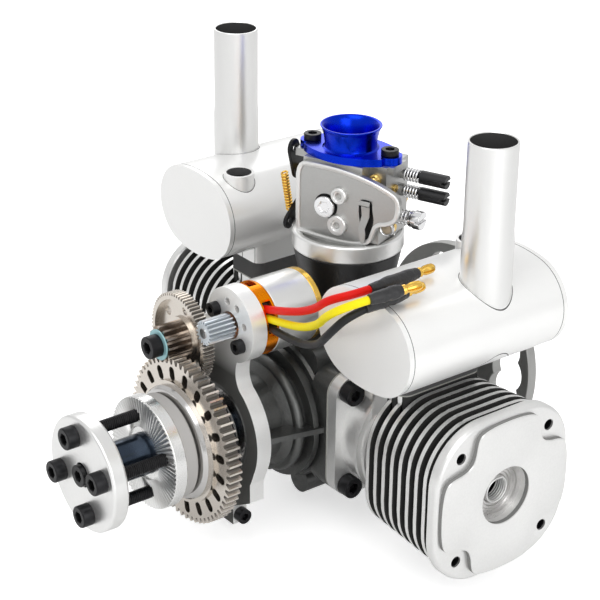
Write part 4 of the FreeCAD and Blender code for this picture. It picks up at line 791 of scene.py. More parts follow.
def join(name: str, parts: Iterable[Object]) -> Object:
    """Put several meshes into one piece and remove them.

    Args:
        name: Name of the piece.
        parts: Mesh objects at the origin.

    Returns:
        The piece.
    """
    shape = bmesh.new()
    for part in parts:
        shape.from_mesh(part.data)
        bpy.data.objects.remove(part)
    return new_piece(name, shape)


def socket_head(name: str, seat: Vector, way: Vector, radius: float, height: float) -> Object:
    """Make a socket screw's head.

    Args:
        name: Piece name.
        seat: Middle of its underside.
        way: Direction from the underside to the top.
        radius: Radius of the head.
        height: Height of the head.

    Returns:
        The head.
    """
    place, steps = local(seat, way), 48
    rims = ((radius, 0), (radius, height - 0.5), (radius - 0.15, height - 0.2), (radius - 0.45, height))
    socket = ((radius * 0.6, height), (radius * 0.55, height - 0.25), (radius * 0.55, height * 0.45))
    rings = [circle(r, h, place, steps) for r, h in rims] + [hexagon(r, h, place, steps) for r, h in socket]
    obj = new_piece(name, loft(rings))
    smooth(obj)
    return obj


def pierced(name: str, levels: Sequence[tuple[float, Sequence[Loop]]], place: Matrix) -> Object:
    """Make a solid from loops that run through several levels: the first outside, the others as holes.

    Args:
        name: Piece name.
        levels: (height, loops) of each level in rising order, each loop with as many points at each level.
        place: Matrix from the plate's own frame, where Z is the height.

    Returns:
        The piece, closed at both ends.
    """
    shape = bmesh.new()
    rims = [[[shape.verts.new(place @ Vector((*point, height)) * MM) for point in loop] for loop in loops]
            for height, loops in levels]
    for low, high in zip(rims, rims[1:]):
        for a, b in zip(low, high):
            for i in range(len(a)):
                shape.faces.new((a[i], a[(i + 1) % len(a)], b[(i + 1) % len(b)], b[i]))
    for end in (rims[0], rims[-1]):
        edges = [shape.edges.get((loop[i - 1], loop[i])) for loop in end for i in range(len(loop))]
        bmesh.ops.triangle_fill(shape, edges=edges, use_beauty=True)
    bmesh.ops.recalc_face_normals(shape, faces=shape.faces)
    return new_piece(name, shape)


def cut_off(shape: Shape, place: Point, way: Point) -> None:
    """Cut off what lies past a plane, and close the cut.

    Args:
        shape: The mesh, changed in place.
        place: A point of the plane.
        way: Direction that it faces, towards what goes.
    """
    bmesh.ops.bisect_plane(shape, geom=shape.verts[:] + shape.edges[:] + shape.faces[:],
                           plane_co=[length * MM for length in place], plane_no=way, clear_outer=True)
    rim = [edge for edge in shape.edges if edge.is_boundary]
    bmesh.ops.triangle_fill(shape, edges=rim, use_beauty=True)


def ring_of(radius: float, centre: Spot = (0.0, 0.0), steps: int = 96) -> list[Vector]:
    """Return the points of a circle in a plate's plane."""
    turns = (math.tau * i / steps for i in range(steps))
    return [Vector((centre[0] + radius * math.cos(t), centre[1] + radius * math.sin(t))) for t in turns]


def square_reach(turn: float, half: float, corner: float) -> float:
    """Find the distance from a rounded square's middle to its edge.

    Args:
        turn: Direction, in radians.
        half: Half its width.
        corner: Radius of its corners.

    Returns:
        The distance.
    """
    low, high = sorted((abs(math.cos(turn)), abs(math.sin(turn))))
    flat = half - corner
    if half * low / high <= flat:
        return half / high
    return flat * (low + high) + math.sqrt(corner ** 2 - flat ** 2 * (high - low) ** 2)


def rounded(points: Loop) -> list[Vector]:
    """Round a closed loop by cutting each corner twice, at a quarter of its sides.

    Args:
        points: The loop.

    Returns:
        The rounder loop.
    """
    for _ in range(2):
        cut = []
        for a, b in zip(points, list(points[1:]) + [points[0]]):
            cut += [a.lerp(b, 0.25), a.lerp(b, 0.75)]
        points = cut
    return list(points)


def shrunk(points: Loop, distance: float) -> list[Vector]:
    """Move each point of a closed, anticlockwise loop inwards along its normal.

    Args:
        points: The loop.
        distance: How far.

    Returns:
        The smaller loop.
    """
    moved = []
    for i, point in enumerate(points):
        way = (points[(i + 1) % len(points)] - points[i - 1]).normalized()
        moved.append(point + Vector((-way.y, way.x)) * distance)
    return moved


def spread_over(pairs: Sequence[Spot], at: float) -> float:
    """Read a value between (place, value) pairs by straight lines.

    Args:
        pairs: The pairs, in rising order of place.
        at: Where to read.

    Returns:
        The value there.
    """
    for (low, first), (high, last) in zip(pairs, pairs[1:]):
        if at <= high:
            return first + (last - first) * (at - low) / (high - low)
    return pairs[-1][1]


@dataclass
class Studio:
    """Camera, lamps, world and floor.

    Attributes:
        azimuth: Direction of the camera, in degrees from the front.
        elevation: Its angle over the horizon, in degrees.
        roll: Its roll, in degrees.
        place: Where it stands.
        lens: Its focal length.
        floor_z: Height of the floor.
    """

    azimuth: float = 52.41
    elevation: float = 25.09
    roll: float = 0.64
    place: Point = (500.6, -472.7, 338.9)
    lens: float = 108.5
    floor_z: float = -44.2

    def camera(self) -> None:
        """Set the scene's camera where the photograph was taken from."""
        a, e, r = (math.radians(v) for v in (self.azimuth, self.elevation, self.roll))
        back = Vector((math.sin(a) * math.cos(e), -math.cos(a) * math.cos(e), math.sin(e)))
        right = Vector((math.cos(a), math.sin(a), 0))
        up = back.cross(right)
        data = bpy.data.cameras.new("camera")
        data.lens = self.lens
        data.sensor_width = 36.0
        data.clip_start = 0.01
        obj = linked("camera", data)
        turn = Matrix((right * math.cos(r) + up * math.sin(r), up * math.cos(r) - right * math.sin(r), back))
        obj.matrix_world = Matrix.Translation(Vector(self.place) * MM) @ turn.transposed().to_4x4()
        bpy.context.scene.camera = obj

    def world(self) -> None:
        """Set a soft studio dome, white behind the object."""
        world = bpy.data.worlds.new("studio")
        bpy.context.scene.world = world
        world.use_nodes = True
        graph, nodes = Graph(world.node_tree), world.node_tree.nodes
        split = graph.add("ShaderNodeSeparateXYZ", {0: graph.add("ShaderNodeTexCoord").outputs["Generated"]})
        height = graph.share(split.outputs[2], -1.0, 1.0)
        dome = graph.ramp(height, (0.18, (0.06, 0.06, 0.065)), (0.62, (0.95, 0.95, 0.95)))
        back = graph.feed(nodes["Background"], {"Color": dome, "Strength": 0.8})
        white = graph.add("ShaderNodeBackground", {"Color": (1, 1, 1, 1)})
        seen = graph.add("ShaderNodeLightPath").outputs["Is Camera Ray"]
        both = graph.add("ShaderNodeMixShader", {0: seen, 1: back.outputs[0], 2: white.outputs[0]})
        graph.feed(nodes["World Output"], {"Surface": both.outputs[0]})

    def lamp(self, name: str, place: Point, aim: Point, size: float, watts: float) -> None:
        """Add one square soft box.

        Args:
            name: Lamp name.
            place: Its centre.
            aim: Point it faces.
            size: Side.
            watts: Power.
        """
        data = bpy.data.lights.new(name, "AREA")
        data.size = size * MM
        data.energy = watts
        obj = linked(name, data)
        obj.location = Vector(place) * MM
        obj.rotation_mode = "QUATERNION"
        obj.rotation_quaternion = (Vector(aim) - Vector(place)).to_track_quat("-Z", "Y")

    def floor(self) -> None:
        """Lay a pale floor that keeps a faint shadow."""
        shape = bmesh.new()
        bmesh.ops.create_grid(shape, x_segments=1, y_segments=1, size=4.0)
        bmesh.ops.translate(shape, verts=shape.verts, vec=(0, 0, self.floor_z * MM))
        obj = new_piece("floor", shape)
        made = bpy.data.materials.new("floor_white")
        made.use_nodes = True
        graph, nodes = Graph(made.node_tree), made.node_tree.nodes
        paint = graph.feed(nodes["Principled BSDF"], {"Base Color": (0.92, 0.92, 0.92, 1), "Roughness": 0.9})
        seen = graph.add("ShaderNodeLightPath").outputs["Is Camera Ray"]
        glow = graph.add("ShaderNodeEmission", {"Strength": seen, "Color": (0.55, 0.55, 0.55, 1)})
        both = graph.add("ShaderNodeAddShader", {0: paint.outputs[0], 1: glow.outputs[0]})
        graph.feed(nodes["Material Output"], {"Surface": both.outputs[0]})
        obj.data.materials.append(made)

    def build(self) -> None:
        """Set the whole studio."""
        bpy.context.scene.view_settings.view_transform = "Standard"
        self.camera()
        self.world()
        self.lamp("key", (250, -500, 800), (0, -80, 30), 600, 2.3)
        self.lamp("fill", (800, -250, 300), (0, -80, 30), 600, 2.0)
        self.lamp("rim", (-600, 200, 500), (0, -80, 40), 500, 1.2)
        self.floor()


@dataclass
class SubAssembly:
    """A group of pieces built on the frame.

    Attributes:
    """

    frame: dict

    def mount(self, obj: Object, body: Body, *nodes: str) -> Object:
        """Let a finished piece ride on a body in place of CAD nodes.

        Args:
            obj: The piece, at the origin.
            body: Body that it moves with.
            *nodes: CAD nodes that it stands for.

        Returns:
            The piece.
        """
        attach(obj, body.value)
        if nodes:
            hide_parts(*nodes)
        LOG.info("%s: %d faces", obj.name, len(obj.data.polygons) if obj.type == "MESH" else 0)
        return obj

    def show(self, obj: Object, finish: Finish, *nodes: str, angle: float = 0.0,
             body: Body = Body.ENGINE) -> Object:
        """Shade, dress and mount a piece.

        Args:
            obj: The piece, at the origin.
            finish: Finish of the whole piece.
            *nodes: CAD nodes that it stands for.
            angle: Angle past which an edge stays sharp in a smooth piece, or 0 to leave the shading.
            body: Body that it moves with.

        Returns:
            The piece.
        """
        if angle:
            smooth(obj, angle)
        dress(obj, finish)
        return self.mount(obj, body, *nodes)

    def keep(self, node: str, finish: Finish, bevel: float = 0.25, change: Change | None = None) -> Object:
        """Show a CAD node through a copy with merged triangles and softened edges.

        Args:
            node: CAD node that the copy stands for.
            finish: Its finish.
            bevel: Width of the softened edges, or 0.
            change: Called with the welded mesh before its triangles are merged.

        Returns:
            The piece.
        """
        shape = bmesh.new()
        shape.from_mesh(self.frame["nodes"][node].data)
        bmesh.ops.remove_doubles(shape, verts=shape.verts, dist=0.002 * MM)
        if change:
            change(shape)
        bmesh.ops.dissolve_limit(shape, angle_limit=math.radians(1.0), verts=shape.verts, edges=shape.edges)
        obj = new_piece(node + "_piece", shape)
        if bevel:
            soften(obj, bevel)
        return self.show(obj, finish, node, angle=32.0, body=Body(self.frame["nodes"][node]["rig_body"]))

    def keep_all(self, *rows: tuple[str, Finish, float]) -> None:
        """Keep several CAD nodes, each given by its name, finish and softened edges."""
        for node, finish, bevel in rows:
            self.keep(node, finish, bevel)


@dataclass
class Crankcase(SubAssembly):
    """Case halves, bearings, moving parts inside and the rear plate."""

    def build(self) -> None:
        """Dress the case, and what it holds."""
        self.keep_all(("crankcase_front", CASTING, 0.7), ("crankcase_rear", CASTING, 0.7),
                      ("case_screws", BLACK_OXIDE, 0.25), ("rear_plate", REAR, 0.3))
        for node in ("main_bearings", "crank_rear", "connecting_rods", "wrist_pins"):
            dress(self.frame["nodes"][node], STEEL)
        dress(self.frame["nodes"]["pistons"], CYLINDER)


@dataclass
class Cylinders(SubAssembly):
    """Both finned cylinders with their heads, plug threads, gaskets and screws.

    Attributes:
        plug_x: Distance from the crank to the inner end of the plug thread.
        plug_depth: Length of the thread.
        plug_r: Radius of the thread's root.
        pitch: Thread pitch.
        barrel_r: Radius of the barrel.
        trim_x: Distance from the crank past which the plain solid is cut off.
        fins: Count, place of the first, pitch and half width of the fins.
        fin_corner: Corner radius that the plain fins have.
        fin_rounder: Corner radius that they get.
        port: Place, half width and foot of the port block, whose fins keep their corners.
        plate: Places of the head plate's two faces.
        plate_half: Half the plate's width.
        plate_corner: Radius of its corners.
        plate_round: Radius of its outer edge.
        hole_at: Distance of its holes from both middle planes.
        hole_r: Their radius.
        pad_x: Place of the raised pad's face.
        pad_edge: The pad's outline, from the middle of a side to a corner.
        recess_r: Radius of the plug's recess.
        recess_x: Place of its floor.
        steps: Turned steps of the floor, as (radius, depth) pairs.
    """

    plug_x: float = 92.2
    plug_depth: float = 5.8
    plug_r: float = 5.0
    pitch: float = 1.0
    barrel_r: float = 23.0
    trim_x: float = 94.5
    fins: tuple[int, float, float, float] = (8, 59.2, 4.75, 30.5)
    fin_corner: float = 15.0
    fin_rounder: float = 21.0
    port: Point = (66.7, 19.1, 20.0)
    plate: Spot = (95.6, 100.6)
    plate_half: float = 32.0
    plate_corner: float = 22.0
    plate_round: float = 1.7
    hole_at: float = 21.2
    hole_r: float = 2.2
    pad_x: float = 102.7
    pad_edge: tuple[Spot, ...] = ((30.6, 0.0), (30.4, 6.0), (29.7, 10.5), (28.8, 13.0), (27.2, 14.4),
                                  (24.6, 15.1), (21.4, 15.5), (19.0, 16.3), (17.4, 17.4))
    recess_r: float = 11.4
    recess_x: float = 98.1
    steps: tuple[Spot, ...] = ((9.6, 0.0), (9.3, 0.7), (8.2, 0.7), (7.9, 1.2), (7.0, 1.2), (6.7, 1.7),
                               (5.9, 1.7), (5.2, 2.3))

    def reshape(self, shape: Shape, sign: int, axis_y: float) -> None:
        """Cut the head plate off and round the fins' corners as the casting's are.

        Args:
            shape: The CAD node's welded triangles, changed in place.
            sign: 1 on the right, -1 on the left.
            axis_y: Place of the cylinder's axis along the crank.
        """
        centre = Vector((0, axis_y, 0)) * MM
        count, first, pitch, half = self.fins
        for step in range(24):
            way = Matrix.Rotation(math.pi * step / 24, 3, "X") @ BACK
            far = [face for face in shape.faces if sign * face.calc_center_median().x > (first - 1.5) * MM]
            edges = {edge for face in far for edge in face.edges}
            corners = {vert for face in far for vert in face.verts}
            bmesh.ops.bisect_plane(shape, geom=[*corners, *edges, *far], plane_co=centre, plane_no=way)
        cut_off(shape, (sign * self.trim_x, 0, 0), (sign, 0, 0))
        for vert in shape.verts:
            x, y, z = abs(vert.co.x) / MM, vert.co.y / MM - axis_y, vert.co.z / MM
            if x < first - 1.5 or math.hypot(y, z) < self.barrel_r + 1:
                continue
            if x < self.port[0] and abs(y) < self.port[1] and z > self.port[2]:
                continue
            width = half - 1.5 + 1.5 * round((x - first) / pitch) / (count - 1)
            turn = math.atan2(z, y)
            if abs(math.hypot(y, z) - square_reach(turn, width, self.fin_corner)) < 0.25:
                scale = square_reach(turn, width, self.fin_rounder) / math.hypot(y, z)
                vert.co.y, vert.co.z = (axis_y + y * scale) * MM, z * scale * MM

    def head(self, side: str, sign: int, axis_y: float) -> None:
        """Make the head: a plate on the barrel, black cups in its holes as painted shade, and on it the
        raised pad with scalloped corners.

        Args:
            side: Which cylinder.
            sign: 1 on the right, -1 on the left.
            axis_y: Place of the cylinder's axis along the crank.
        """
        foot, way = Vector((0, axis_y, 0)), Vector((sign, 0, 0))
        place = local(foot, way)
        edge = []
        for turn in (math.tau * i / 160 for i in range(160)):
            reach = square_reach(turn, self.plate_half, self.plate_corner)
            edge.append(Vector((math.cos(turn), math.sin(turn))) * reach)
        recess, mouth = ring_of(self.recess_r), ring_of(self.recess_r + 0.5)
        spots = [(a * self.hole_at, b * self.hole_at) for a in (-1, 1) for b in (-1, 1)]
        holes = [ring_of(self.hole_r, spot, 24) for spot in spots] + [recess]
        low, high = self.plate
        levels = [(low, [shrunk(edge, 0.6)] + holes), (low + 0.6, [edge] + holes)]
        for turn in (math.pi / 2 * i / 5 for i in range(6)):
            inset = shrunk(edge, self.plate_round * (1 - math.cos(turn))) if turn else edge
            levels.append((high - self.plate_round * (1 - math.sin(turn)), [inset] + holes))
        plate = pierced("head_plate_" + side, levels, place)
        corner = list(self.pad_edge) + [(b, a) for a, b in self.pad_edge[-2:0:-1]]
        quarters = [Matrix.Rotation(math.pi / 2 * i, 2) for i in range(4)]
        outline = rounded([quarter @ Vector(spot) for quarter in quarters for spot in corner])
        face = self.pad_x
        levels = [(high - 0.1, [outline, recess]), (face - 0.6, [outline, recess]),
                  (face - 0.18, [shrunk(outline, 0.18), recess]), (face, [shrunk(outline, 0.6), mouth])]
        pad = pierced("head_pad_" + side, levels, place)
        profile = [(self.plug_r, 94.4), (self.barrel_r, 94.4), (self.barrel_r, self.recess_x)]
        profile += [(r, self.recess_x - depth) for r, depth in self.steps]
        profile.append((self.plug_r, self.recess_x - 2.4))
        core = turned("head_core_" + side, profile, foot, way)
        # Black cups in the plate's holes stand for painted shade.
        wide, narrow = self.hole_r - 0.02, self.hole_r - 0.14
        cup = [(0.3, low + 0.2), (wide, low + 0.2), (wide, high - 0.75), (narrow, high - 0.9),
               (narrow, low + 0.4), (0.3, low + 0.4)]
        for i, spot in enumerate(spots):
            hole = turned("head_hole_%s_%d" % (side, i), cup, place @ Vector((*spot, 0)), way, 32)
            self.show(hole, BLACK_OXIDE)
        for piece, finish in ((plate, CYLINDER), (pad, HEAD_PAD), (core, CORE)):
            self.show(piece, finish, angle=40)

    def build(self, coil: Coil) -> None:
        """Dress the castings, make their heads and cut their plug threads.

        Args:
            coil: Tree that winds the threads.
        """
        self.keep_all(("gaskets", GASKET, 0.1), ("cylinder_screws", BLACK_OXIDE, 0.25))
        for side, (sign, y) in AXES.items():
            self.keep("cylinder_" + side, CYLINDERS[side], 0.3, lambda shape: self.reshape(shape, sign, y))
            self.head(side, sign, y)
            foot, way = Vector((sign * self.plug_x, y, 0)), Vector((sign, 0, 0))
            turns = self.plug_depth / self.pitch
            thread = coil.wind("plug_thread_" + side, foot, way, self.plug_depth, turns, self.plug_r, 0.42,
                               CYLINDER, 4, 48)
            self.mount(thread, Body.ENGINE)


@dataclass
class Exhaust(SubAssembly):
    """Mufflers and their upright pipes.

    Attributes:
        pipe_r: Radius of a pipe's upper end.
        foot_r: Radius of its lower end.
        wall: Its wall.
        foot: Height that it starts at, inside the muffler.
        top: Height of its mouth.
    """

    pipe_r: float = 9.0
    foot_r: float = 9.3
    wall: float = 0.8
    foot: float = 57.0
    top: float = 127.5

    def build(self) -> None:
        """Dress both mufflers and turn their pipes."""
        for side, finish in MUFFLERS.items():
            self.keep("muffler_" + side, finish)
        inner = self.pipe_r - self.wall
        profile = [(inner, self.foot), (self.foot_r, self.foot), (self.foot_r, self.top - 36),
                   (self.pipe_r, self.top - 32), (self.pipe_r, self.top - 0.2),
                   (self.pipe_r - 0.15, self.top), (inner + 0.15, self.top), (inner, self.top - 0.2)]
        for side, finish in PIPES.items():
            pipe = turned(side + "_pipe", profile, Vector((*finish.mask.axis, 0)), UP)
            self.show(pipe, finish, "exhaust_pipes", angle=30)


@dataclass
class PropellerDrive(SubAssembly):
    """Propeller plate, its bolts, the serrated drive hub and the crankshaft.

    Attributes:
        face: Place of the hub's face along the crank.
        hub_r: Radius of the hub's flange.
        teeth: Radial serrations on the face.
        tooth: Height of a serration.
        inner: Radius that the serrations begin at.
        bolt_circle: Radius that the bolts stand on.
        bolt_turn: Angle of the first bolt.
        head: Radius and height of a bolt's head.
        core_r: Root radius of the bolt's thread.
        thread_r: Outer radius of the thread.
        pitch: Thread pitch.
        seat: Place of the heads' undersides along the crank.
        tip: Place of the bolts' ends.
    """

    face: float = -160.6
    hub_r: float = 22.0
    teeth: int = 72
    tooth: float = 0.45
    inner: float = 10.6
    bolt_circle: float = 15.0
    bolt_turn: float = 16.0
    head: Spot = (4.25, 4.7)
    core_r: float = 2.15
    thread_r: float = 2.5
    pitch: float = 0.8
    seat: float = -187.0
    tip: float = -152.0

    def hub(self, radial: Repeat) -> None:
        """Turn the hub and cut its face into radial serrations.

        Args:
            radial: Tree that repeats the serration.
        """
        profile = [(8.0, 34.6), (8.0, 1.0), (10.4, 1.0), (10.4, self.tooth), (self.hub_r - 0.3, self.tooth),
                   (self.hub_r, self.tooth + 0.3), (self.hub_r, 5.3), (self.hub_r - 0.3, 5.6), (20.6, 6.2),
                   (20.6, 10.8), (19.8, 11.6), (12.5, 11.6), (12.5, 34.6)]
        hub = turned("drive_hub_body", profile, BACK * self.face, BACK, 120)
        soften(hub, 0.15)
        self.show(hub, HUB, "drive_hub", angle=32, body=Body.CRANK)
        ridge = bmesh.new()
        length = self.hub_r - 0.15 - self.inner
        corners = ((0, -0.32, 0), (length, -0.75, 0), (length, 0.75, 0), (0, 0.32, 0), (0, 0, self.tooth),
                   (length, 0, self.tooth))
        verts = [ridge.verts.new(Vector(corner) * MM) for corner in corners]
        for loop in ((0, 1, 5, 4), (2, 3, 4, 5), (1, 2, 5), (3, 0, 4), (3, 2, 1, 0)):
            ridge.faces.new([verts[i] for i in loop])
        bmesh.ops.recalc_face_normals(ridge, faces=ridge.faces)
        shape = new_piece("ridge", ridge)
        sizes = {"Shape": shape, "Count": self.teeth, "Radius": self.inner * MM}
        place = local(BACK * (self.face + self.tooth) * MM, FORWARD)
        serrations = radial.bake("hub_serrations", sizes, TURNED, place)
        bpy.data.objects.remove(shape)
        self.show(serrations, TURNED, body=Body.CRANK)

    def bolts(self, coil: Coil) -> None:
        """Make the four threaded bolts with socket heads as one piece.

        Args:
            coil: Tree that winds the threads.
        """
        parts = []
        length = self.tip - self.seat
        for turn in (math.radians(self.bolt_turn + 90 * i) for i in range(4)):
            foot = Vector((self.bolt_circle * math.cos(turn), self.seat, self.bolt_circle * math.sin(turn)))
            core = loft([circle(self.core_r, h, local(foot, BACK), 24) for h in (-0.5, length)])
            thread = coil.wind("bolt_thread", foot, BACK, length - 1, (length - 1) / self.pitch,
                               self.core_r + 0.02, self.thread_r - self.core_r, BLACK_OXIDE, 4, 20)
            head = socket_head("bolt_head", foot, FORWARD, *self.head)
            parts += [head, new_piece("bolt_core", core), thread]
        self.show(join("propeller_bolt_set", parts), BLACK_OXIDE, "propeller_bolts", body=Body.CRANK)

    def build(self, coil: Coil, radial: Repeat) -> None:
        """Build the whole drive.

        Args:
            coil: Tree that winds the bolts' threads.
            radial: Tree that repeats the hub's serration.
        """
        self.keep_all(("propeller_plate", TURNED, 0.5), ("crank_bolt", BLACK_OXIDE, 0.25),
                      ("crankshaft", SHAFT, 0.3))
        self.hub(radial)
        self.bolts(coil)


@dataclass
class StarterGears(SubAssembly):
    """Ring gear on its clutch, the idler and their plate."""

    def build(self) -> None:
        """Dress the gears."""
        self.keep_all(("ring_gear", RING_GEAR, 0), ("ring_gear_shield", BLACK_OXIDE, 0.1),
                      ("starter_clutch", STEEL, 0.3), ("idler_wheel", WHEEL, 0), ("idler_pinion", BRONZE, 0),
                      ("idler_screw", BLACK_OXIDE, 0.25), ("idler_clip", TEAL, 0.1),
                      ("starter_plate", FRONT_PLATE, 0.5), ("starter_screws", BLACK_OXIDE, 0.2))


@dataclass(frozen=True)
class Lead:
    """One motor lead: CAD node, finish, length, which is not used, and the points of its route."""

    node: str
    finish: Finish
    length: float
    points: tuple[Point, ...]


@dataclass
class StarterMotor(SubAssembly):
    """Electric motor, its leads, heat-shrink sleeves and bullet connectors.

    Attributes:
        lead_r: Radius of a lead.
        from_bend: Distance from the last corner to the sleeve.
        overlap: Length of lead inside the sleeve.
        sleeve: Radius along a sleeve, as (share, radius) pairs.
        lump: Height of a sleeve's lumps.
        bullet: Radius along a bullet, as (distance, radius) pairs.
        leads: The three leads.
    """

    lead_r: float = 1.5
    from_bend: float = 5.8
    overlap: float = 8.0
    sleeve: tuple[Spot, ...] = ((0, 1.72), (0.02, 1.9), (0.12, 2.0), (0.25, 2.2), (0.42, 2.42), (0.55, 2.3),
                                (0.68, 2.5), (0.82, 2.45), (0.92, 2.1), (0.98, 2.0), (1, 1.8))
    lump: float = 0.28
    bullet: tuple[Spot, ...] = ((-0.4, 1.5), (0.3, 1.75), (1.2, 1.75), (1.5, 1.45), (2.2, 1.45), (3.2, 1.75),
                                (5, 1.85), (6.6, 1.7), (7.3, 1.35), (7.5, 1.0))
    leads: tuple[Lead, ...] = (
        Lead("lead_red", RED, 73.2, ((16.7, -116.55, 53.8), (34, -118.2, 59.5), (49, -119.0, 66.5),
                                     (60.5, -122, 75.5), (69, -115.8, 79.4), (68.2, -88, 79.6))),
        Lead("lead_yellow", YELLOW, 82.7, ((18.6, -116.55, 50.82), (38, -118.4, 55.0), (55, -121.8, 63.5),
                                           (67.5, -128, 74.0), (79, -125.5, 82.0), (82.6, -107.5, 83.6))),
        Lead("lead_black", BLACK_LEAD, 81.7, ((19.41, -116.55, 47.42), (40, -119.0, 49.5), (57, -123.0, 57.0),
                                              (69, -129, 67.0), (76.5, -124.5, 77.2), (77.6, -101.0, 79.2))))

    def wire(self, lead: Lead, route: Loop) -> Object:
        """Make a lead as a round NURBS curve.

        Args:
            lead: The lead.
            route: Its points.

        Returns:
            The curve object.
        """
        data = bpy.data.curves.new(lead.node + "_wire", "CURVE")
        data.dimensions = "3D"
        data.bevel_depth = self.lead_r * MM
        data.bevel_resolution = 6
        data.resolution_u = 24
        data.use_fill_caps = True
        spline = data.splines.new("NURBS")
        spline.points.add(len(route) - 1)
        for point, place in zip(spline.points, route):
            point.co = (*(place * MM), 1)
        spline.order_u = 3
        spline.use_endpoint_u = True
        return linked(lead.node + "_wire", data)

    def shrink(self, name: str, start: Vector, tip: Vector, seed: int) -> Object:
        """Make a lumpy heat-shrink sleeve.

        Args:
            name: Piece name.
            start: Where it begins.
            tip: Where it ends.
            seed: Shifts its lumps.

        Returns:
            The sleeve.
        """
        place, length = local(start, tip - start), (tip - start).length
        rings = []
        for share in (i / 40 for i in range(41)):
            ring = circle(1.0, share * length, Matrix.Identity(4), 40)
            for i, point in enumerate(ring):
                lump = noise.noise(Vector((point.x * 1.3, point.y * 1.3, point.z * 0.5 + 9 * seed)))
                reach = spread_over(self.sleeve, share) + self.lump * lump * math.sin(math.pi * share)
                ring[i] = place @ Vector((point.x * reach, point.y * reach, point.z))
            rings.append(ring)
        return self.show(new_piece(name, loft(rings)), SLEEVE, "lead_sleeves", angle=60)

    def plug(self, name: str, tip: Vector, way: Vector) -> Object:
        """Make a slotted bullet connector.

        Args:
            name: Piece name.
            tip: End of the sleeve.
            way: Direction of the connector.

        Returns:
            The connector.
        """
        place = local(tip, way)
        rings = []
        for height, radius in self.bullet:
            ring = circle(1.0, height, Matrix.Identity(4), 32)
            for i, point in enumerate(ring):
                reach = radius * (0.62 if i % 8 == 0 and height > 2 else 1.0)
                ring[i] = place @ Vector((point.x * reach, point.y * reach, point.z))
            rings.append(ring)
        return self.show(new_piece(name, loft(rings)), GOLD, "lead_connectors", angle=40)

    def wiring(self) -> None:
        for seed, lead in enumerate(self.leads):
            points = [Vector(p) for p in lead.points]
            way = (points[-1] - points[-2]).normalized()
            end = points[-2] + way * (self.from_bend + self.overlap)
            colour = lead.node.split("_")[1]
            wire = self.wire(lead, points[:-1] + [end])
            sleeve = self.shrink("sleeve_" + colour, end - way * self.overlap, points[-1], seed)
            plug = self.plug("bullet_" + colour, points[-1], way)
            self.show(wire, lead.finish, lead.node)

    def build(self) -> None:
        """Build the motor and its wiring."""
        self.keep_all(("motor_end_bell", ORANGE, 0.2), ("motor_stator", BLACK_PLASTIC, 0.2),
                      ("motor_can", TURNED, 0.2), ("motor_rear_ring", GOLD, 0.25),
                      ("motor_shaft", STEEL, 0.1), ("motor_pinion", PINION, 0))
        self.wiring()


